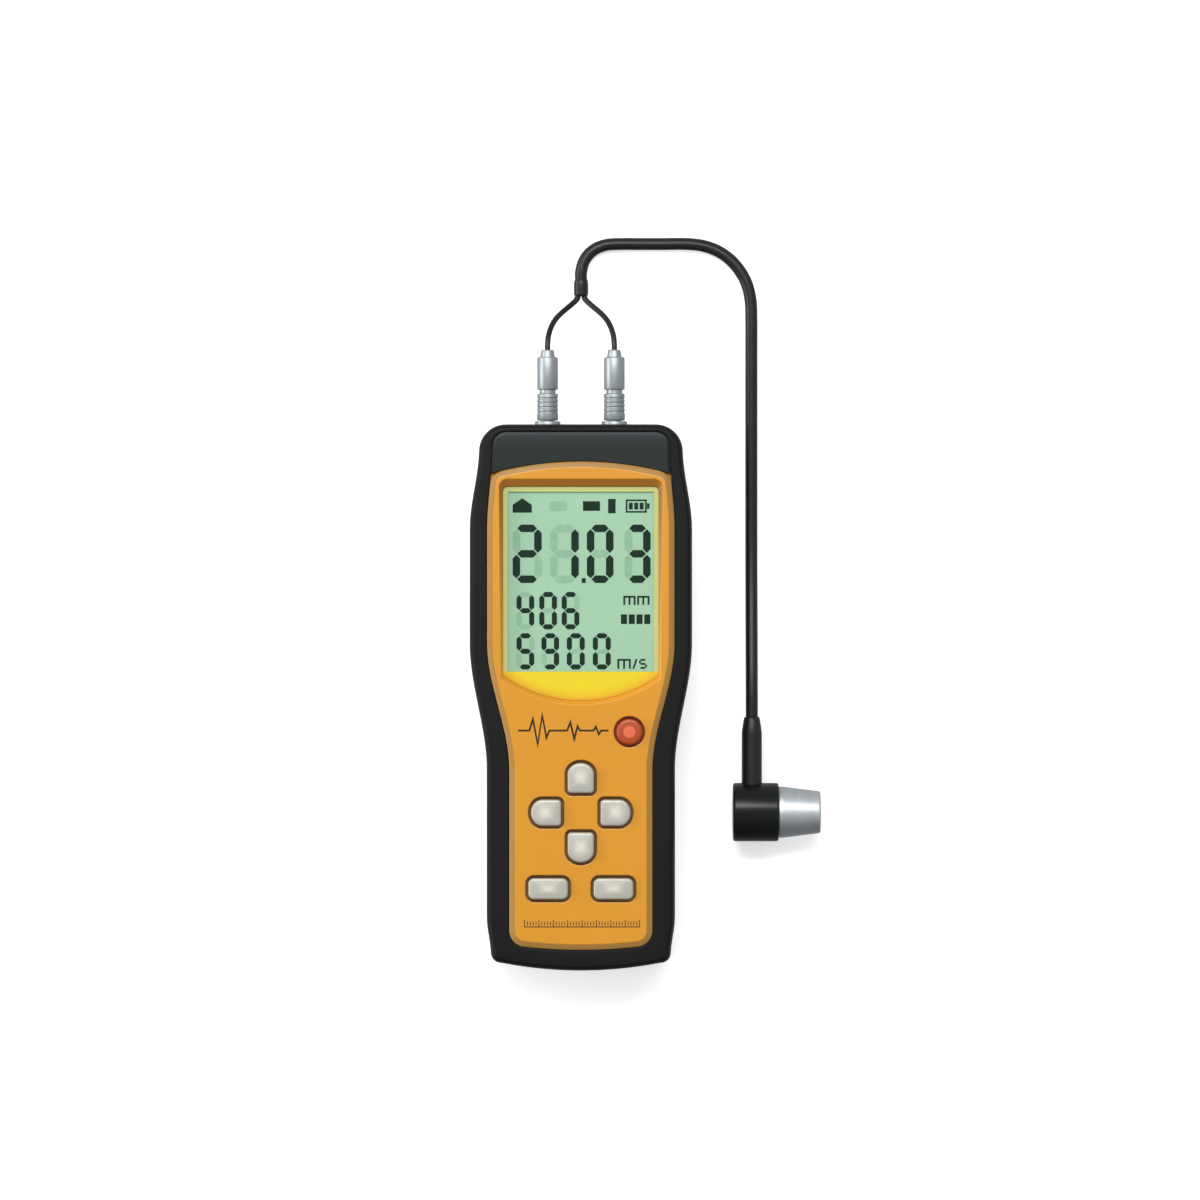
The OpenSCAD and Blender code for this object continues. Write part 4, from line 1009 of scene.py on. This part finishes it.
# display: window, printed mask, LCD and its reading
lcd = {
    "top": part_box("lcd_glass")[1].z / mm, "ink": srgb(22, 48, 36), "ghost": srgb(160, 205, 172),
    "green": srgb(172, 216, 182), "border": srgb(206, 212, 134), "yellow": srgb(250, 222, 0),
    "amber": srgb(238, 172, 18), "inkLift": 0.02, "inkThick": 0.05, "inkRough": 0.45, "windowLift": 0.03,
    "segmentGap": 0.12,
    "segments": {"0": "abcdef", "1": "bc", "2": "abged", "3": "abgcd", "4": "fgbc", "5": "afgcd",
                 "6": "afgedc", "9": "abcdfg"},
    "rows": [
        {"low": 38.3, "high": 57.8, "stroke": 2.5,
         "digits": [("2", -22.8, -13.1), ("1", -10.4, -0.7), ("0", 2.0, 10.9), ("3", 14.6, 23.3)]},
        {"low": 22.8, "high": 35.3, "stroke": 1.7,
         "digits": [("4", -21.5, -15.6), ("0", -13.9, -8.0), ("6", -6.4, -0.5)]},
        {"low": 9.4, "high": 21.5, "stroke": 1.7,
         "digits": [("5", -21.5, -15.6), ("9", -13.2, -7.3), ("0", -4.7, 1.3), ("0", 4.0, 10.0)]},
    ],
    "bars": [((0.3, 38.3), (1.6, 39.9)), ((0.7, 62.4), (6.4, 65.6)), ((9.1, 61.6), (11.6, 66.4))],
    "units": [("mm", 14.2, 31.0, 3.0), ("m/s", 12.2, 9.6, 3.3)], "unitStroke": 0.62, "signGap": 0.55,
    "signWidth": {"m": 1.36, "/": 0.5, "s": 0.8},
    "levels": {"from": (13.4, 24.6), "to": (23.2, 27.8), "count": 4, "gap": 0.6},
    "cell": {"from": (15.0, 61.8), "to": (22.0, 66.2), "wall": 0.55, "count": 3, "gap": 0.5,
             "nub": ((22.1, 63.1), (22.9, 64.9))},
    "faint": [((-10.4, 62.4), (-4.7, 65.6))],
    "house": [(-22.8, 61.8), (-16.4, 61.8), (-16.4, 64.4), (-19.6, 66.6), (-22.8, 64.4)],
    "glass": {"shader": {"Roughness": 0.35, "Emission_Strength": 0.06}, "cloud": (22.0, 2.0),
              "tones": (0.93, 1.05)},
    "mask": {"shader": {"Roughness": 0.4, "Emission_Strength": 0.1}, "amberWide": 4.6, "viewEdge": 0.2,
             "sharp": 2500.0, "grain": (700.0, 2.0), "grainShare": 0.12, "grainTone": 0.9},
    "clear": {"shader": {"Roughness": 0.06, "Base_Color": (0.03, 0.05, 0.04, 1.0)}, "cloud": (30.0, 2.0),
              "alphaSpan": 0.03, "alpha": 0.05},
}
printed = {"specular": 0.1, "cloud": (420.0, 3.0), "tones": (0.85, 1.15)}


# the seven strokes of a figure
def segmentShapes(x0, x1, low, high, stroke):
    h, cut = stroke / 2, lcd["segmentGap"] * stroke
    middle = (low + high) / 2
    left, right, under, over = x0 + h, x1 - h, low + h, high - h

    def across(y):
        a, b = left + cut, right - cut
        return [(a, y), (a + h, y - h), (b - h, y - h), (b, y), (b - h, y + h), (a + h, y + h)]

    def upright(x, bottom, top):
        a, b = bottom + cut, top - cut
        return [(x, a), (x + h, a + h), (x + h, b - h), (x, b), (x - h, b - h), (x - h, a + h)]

    return {
        "a": across(over), "g": across(middle), "d": across(under),
        "b": upright(right, middle, over), "f": upright(left, middle, over),
        "c": upright(right, under, middle), "e": upright(left, under, middle),
    }


def rectangle(low, high):
    return [low, (high[0], low[1]), high, (low[0], high[1])]


# a row of equal blocks between two corners
def blockRow(low, high, count, gap):
    wide = (high[0] - low[0] - gap * (count - 1)) / count
    starts = [low[0] + (wide + gap) * i for i in range(count)]
    return [rectangle((x, low[1]), (x + wide, high[1])) for x in starts]


def unitShapes(word, x, low, h):
    s = lcd["unitStroke"]
    shapes = []
    for sign in word:
        w = h * lcd["signWidth"][sign]
        if sign == "m":
            for a in (0, (w - s) / 2, w - s):
                shapes.append(rectangle((x + a, low), (x + a + s, low + h - s)))
            shapes.append(rectangle((x, low + h - s), (x + w, low + h)))
        elif sign == "/":
            shapes.append([(x, low), (x + s, low), (x + w, low + h), (x + w - s, low + h)])
        else:
            parts = segmentShapes(x, x + w, low, low + h, s)
            shapes += [parts[letter] for letter in lcd["segments"]["5"]]
        x += w + lcd["signGap"]
    return shapes


def cellShapes():
    cell = lcd["cell"]
    (x0, y0), (x1, y1) = cell["from"], cell["to"]
    wall, gap = cell["wall"], cell["gap"]
    edges = [((x0, y0), (x1, y0 + wall)), ((x0, y1 - wall), (x1, y1)),
             ((x0, y0 + wall), (x0 + wall, y1 - wall)), ((x1 - wall, y0 + wall), (x1, y1 - wall)),
             cell["nub"]]
    room = wall + gap
    charge = blockRow((x0 + room, y0 + room), (x1 - room, y1 - room), cell["count"], gap)
    return [rectangle(*bar) for bar in edges] + charge


def makeReading():
    ink, ghost = Skin(), Skin()
    low = lcd["top"] + lcd["inkLift"]
    high = low + lcd["inkThick"]
    for row in lcd["rows"]:
        for sign, x0, x1 in row["digits"]:
            for letter, points in segmentShapes(x0, x1, row["low"], row["high"], row["stroke"]).items():
                lit = letter in lcd["segments"][sign]
                (ink if lit else ghost).slab(points, low, high)
    level = lcd["levels"]
    signs = [rectangle(*bar) for bar in lcd["bars"]] + cellShapes()
    signs += blockRow(level["from"], level["to"], level["count"], level["gap"])
    for unit in lcd["units"]:
        signs += unitShapes(*unit)
    for points in signs + [lcd["house"]]:
        ink.slab(points, low, high)
    for bar in lcd["faint"]:
        ghost.slab(rectangle(*bar), low, high)
    return ink.make("lcdReading", False), ghost.make("lcdGhost", False)


def inkFinish(name, colour, rough):
    finish = Finish(name, Roughness=rough, Specular_IOR_Level=printed["specular"])
    cloud = finish.noise(*printed["cloud"])
    finish.feed("Base Color", finish.tinted(cloud, colour, printed["tones"]))
    return finish


def glassFinish():
    look = lcd["glass"]
    finish = Finish("lcdGreen", **look["shader"])
    green = finish.tinted(finish.noise(*look["cloud"]), lcd["green"], look["tones"])
    finish.feed("Base Color", green)
    # painted light: the green glows faintly, lifting it out of the recess's shade
    finish.feed("Emission Color", green)
    return finish


# a green border round the LCD, and a crescent that turns amber at its edge
def maskFinish():
    look = lcd["mask"]
    finish = Finish("maskPrint", **look["shader"])
    x, y = finish.axis(0), finish.axis(1)
    up = y - (face["windowLow"] + windowR) * mm
    away = (x * x + up * up) ** 0.5
    edge = ((away - (windowR - look["amberWide"]) * mm) / (look["amberWide"] * mm)).share()
    above = ((y - (face["view"][1] - look["viewEdge"]) * mm) * look["sharp"]).share()
    crescent = finish.mix(edge * edge, lcd["yellow"], lcd["amber"])
    whole = finish.mix(above, crescent, lcd["border"])
    grain = finish.noise(*look["grain"]) * look["grainShare"]
    whole = finish.mix(grain, whole, scaled(lcd["yellow"], look["grainTone"]))
    finish.feed("Base Color", whole)
    # painted light: the print glows faintly
    finish.feed("Emission Color", whole)
    return finish


def windowFinish():
    look = lcd["clear"]
    finish = Finish("windowClear", **look["shader"])
    finish.feed("Alpha", finish.noise(*look["cloud"]) * look["alphaSpan"] + look["alpha"])
    return finish


def makeWindow():
    skin = Skin()
    skin.slab(windowPlan(0.0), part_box("display_window")[0].z / mm + lcd["windowLift"], pocketZ)
    return skin.make("displayWindow", False)


# a solid that keeps its own mesh takes a finish in place of its plain one
def dress(finish, *nodes):
    for node in nodes:
        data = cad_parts[node].data
        data.materials.clear()
        data.materials.append(finish.material)


reading, ghost = makeReading()
finished(reading, inkFinish("lcdInk", lcd["ink"], lcd["inkRough"]), "gauge", "display_glass")
finished(ghost, inkFinish("lcdGhostInk", lcd["ghost"], lcd["inkRough"]), "gauge", "display_glass")
dress(glassFinish(), "lcd_glass")
dress(maskFinish(), "window_mask")
finished(makeWindow(), windowFinish(), "gauge", "clear_plastic", "display_window")
print("display made")


# dark end panel: lighter towards the sockets, a painted highlight along its top edge
panel = {
    "grey": srgb(21, 29, 26), "light": srgb(52, 59, 62), "from": 81.0, "to": 89.0, "darkShare": 0.25,
    "darkTone": 0.7, "shader": {"Roughness": 0.42, "Specular_IOR_Level": 0.3}, "cloud": (60.0, 4.0),
    "glossSpan": 0.16, "gloss": 0.34, "grain": (1800.0, 2.0, 0.12, 0.0001),
}


def panelFinish():
    finish = Finish("endPanel", **panel["shader"])
    rise = ((finish.axis(1) - panel["from"] * mm) / ((panel["to"] - panel["from"]) * mm)).share()
    cloud = finish.noise(*panel["cloud"])
    # painted highlight: the grey turns lighter towards the top edge
    base = finish.mix(rise * rise, panel["grey"], panel["light"])
    dark = scaled(panel["grey"], panel["darkTone"])
    finish.feed("Base Color", finish.mix(cloud * panel["darkShare"], base, dark))
    finish.surface(cloud, panel)
    return finish


# solids that keep their meshes: colour, roughness, grain and nodes
moulded = {
    "cloud": (55.0, 4.0), "tones": (0.85, 1.18), "glossSpan": 0.16, "glossUnder": 0.08, "detail": 2.0,
    "strength": 0.12, "depth": 0.0001,
    "pieces": {
        "backPlastic": ((30, 32, 35), 0.46, 1700.0, ["rear_case"]),
        "doorPlastic": ((34, 36, 39), 0.5, 1300.0, ["battery_door"]),
        "backlightWhite": ((240, 242, 232), 0.5, 1700.0, ["backlight"]),
        "contactRubber": ((216, 150, 150), 0.6, 1700.0, ["contact_strips"]),
        "boardGreen": ((28, 104, 64), 0.35, 2600.0, ["main_board"]),
        "chipBlack": ((36, 38, 41), 0.5, 1700.0, ["board_chips"]),
        "matRubber": ((52, 55, 60), 0.65, 1700.0, ["keypad_mat"]),
        "cellWrap": ((52, 66, 96), 0.34, 1700.0, ["battery_left", "battery_right"]),
        "wireRed": ((188, 48, 40), 0.45, 1700.0, ["socket_wires"]),
        "delayAmber": ((176, 128, 70), 0.3, 1700.0, ["delay_blocks"]),
        "barrierCork": ((96, 66, 42), 0.75, 900.0, ["sound_barrier"]),
        "crystalCream": ((206, 196, 160), 0.4, 1700.0, ["probe_crystals"]),
        "backingGrey": ((84, 84, 88), 0.6, 1700.0, ["probe_backing"]),
    },
}
hardware = {
    "sheetSteel": ((188, 192, 196), 0.34, ["lcd_frame", "battery_contacts", "battery_springs"]),
    "screwSteel": ((178, 182, 186), 0.3, ["board_screws", "case_screws", "socket_nuts"]),
}


def mouldedFinish(name, colour, rough, grain):
    look = {
        "shader": {"Roughness": rough}, "cloud": moulded["cloud"], "tones": moulded["tones"],
        "glossSpan": moulded["glossSpan"], "gloss": rough - moulded["glossUnder"],
        "grain": (grain, moulded["detail"], moulded["strength"], moulded["depth"]),
    }
    return cloudedFinish(name, srgb(*colour), look)


dress(panelFinish(), "connector_cap")
for name, (colour, rough, grain, nodes) in moulded["pieces"].items():
    dress(mouldedFinish(name, colour, rough, grain), *nodes)
for name, (colour, rough, nodes) in hardware.items():
    dress(metalFinish(name, srgb(*colour), rough), *nodes)
print("solids dressed")


# print on the face: a plain tick scale and an echo trace
marks = {
    "ink": srgb(58, 46, 36), "rough": 0.5, "lift": 0.015, "thick": 0.02, "ribbon": 0.62, "mitre": 0.22,
    "count": 41, "step": 0.96, "startX": -18.8, "tickY": -75.4, "tick": (0.26, 1.3), "long": 1.9,
    "every": 5.0, "rule": ((-18.95, -76.7), (19.75, -76.4)),
    "trace": [(-21, -11), (-17.2, -11), (-16, -7.2), (-14.4, -15.6), (-12.9, -6), (-11.5, -13.4),
              (-10.5, -11), (-4.6, -11), (-3.5, -8.2), (-2.2, -13.8), (-1.1, -9.6), (-0.3, -11), (4.2, -11),
              (5, -9.7), (6, -12.2), (6.8, -11), (9.2, -11)],
}


# both edges of a line of the given width, with mitred corners
def ribbonPlan(points, width):
    above, below = [], []
    for i, point in enumerate(points):
        here = Vector(point)
        before = (here - Vector(points[i - 1])).normalized() if i else None
        after = (Vector(points[i + 1]) - here).normalized() if i < len(points) - 1 else None
        along = ((before or after) + (after or before)).normalized()
        side = Vector((-along.y, along.x))
        flat = after or before
        reach = width / 2 / max(marks["mitre"], side.dot(Vector((-flat.y, flat.x))))
        above.append(here + side * reach)
        below.append(here - side * reach)
    return above, below


def makeTrace():
    skin = Skin()
    low = faceZ + marks["lift"]
    high = low + marks["thick"]
    above, below = ribbonPlan(marks["trace"], marks["ribbon"])
    for i in range(len(above) - 1):
        skin.slab([below[i], below[i + 1], above[i + 1], above[i]], low, high)
    skin.slab(rectangle(*marks["rule"]), low, high)
    return skin.make("echoTrace", False)


# a row of ticks, every so many of them long
def tickTree(finish):
    nodes = Nodes("tickScale", {"count": "Int", "step": "Float", "start": "Vector", "size": "Vector",
                                "longShare": "Float", "every": "Float"})
    spacing = nodes.node("ShaderNodeCombineXYZ", values={"X": nodes.input("step")})
    line = nodes.node("GeometryNodeMeshLine", values={
        "Count": nodes.input("count"), "Start Location": nodes.input("start"), "Offset": spacing})
    box = nodes.node("GeometryNodeMeshCube", values={"Size": nodes.input("size")})
    index = nodes.node("GeometryNodeInputIndex")
    first = 1.0 - (index % nodes.input("every")).atMost(1.0)
    tall = first * (nodes.input("longShare") - 1.0) + 1.0
    scale = nodes.node("ShaderNodeCombineXYZ", values={"X": 1.0, "Y": tall, "Z": 1.0})
    many = nodes.node("GeometryNodeInstanceOnPoints", values={
        "Points": line, "Instance": box, "Scale": scale})
    nodes.close(many, finish)
    return nodes


faceInk = inkFinish("faceInk", marks["ink"], marks["rough"])
finished(makeTrace(), faceInk, "gauge", "black_plastic")
tickZ = faceZ + marks["lift"] + marks["thick"] / 2
ticks = tickTree(faceInk).grow(
    "tickScale", count=marks["count"], step=marks["step"] * mm,
    start=(marks["startX"] * mm, marks["tickY"] * mm, tickZ * mm),
    size=(marks["tick"][0] * mm, marks["tick"][1] * mm, marks["thick"] * mm),
    longShare=marks["long"], every=marks["every"])
finished(ticks, faceInk, "gauge", "black_plastic")
print("face print made")
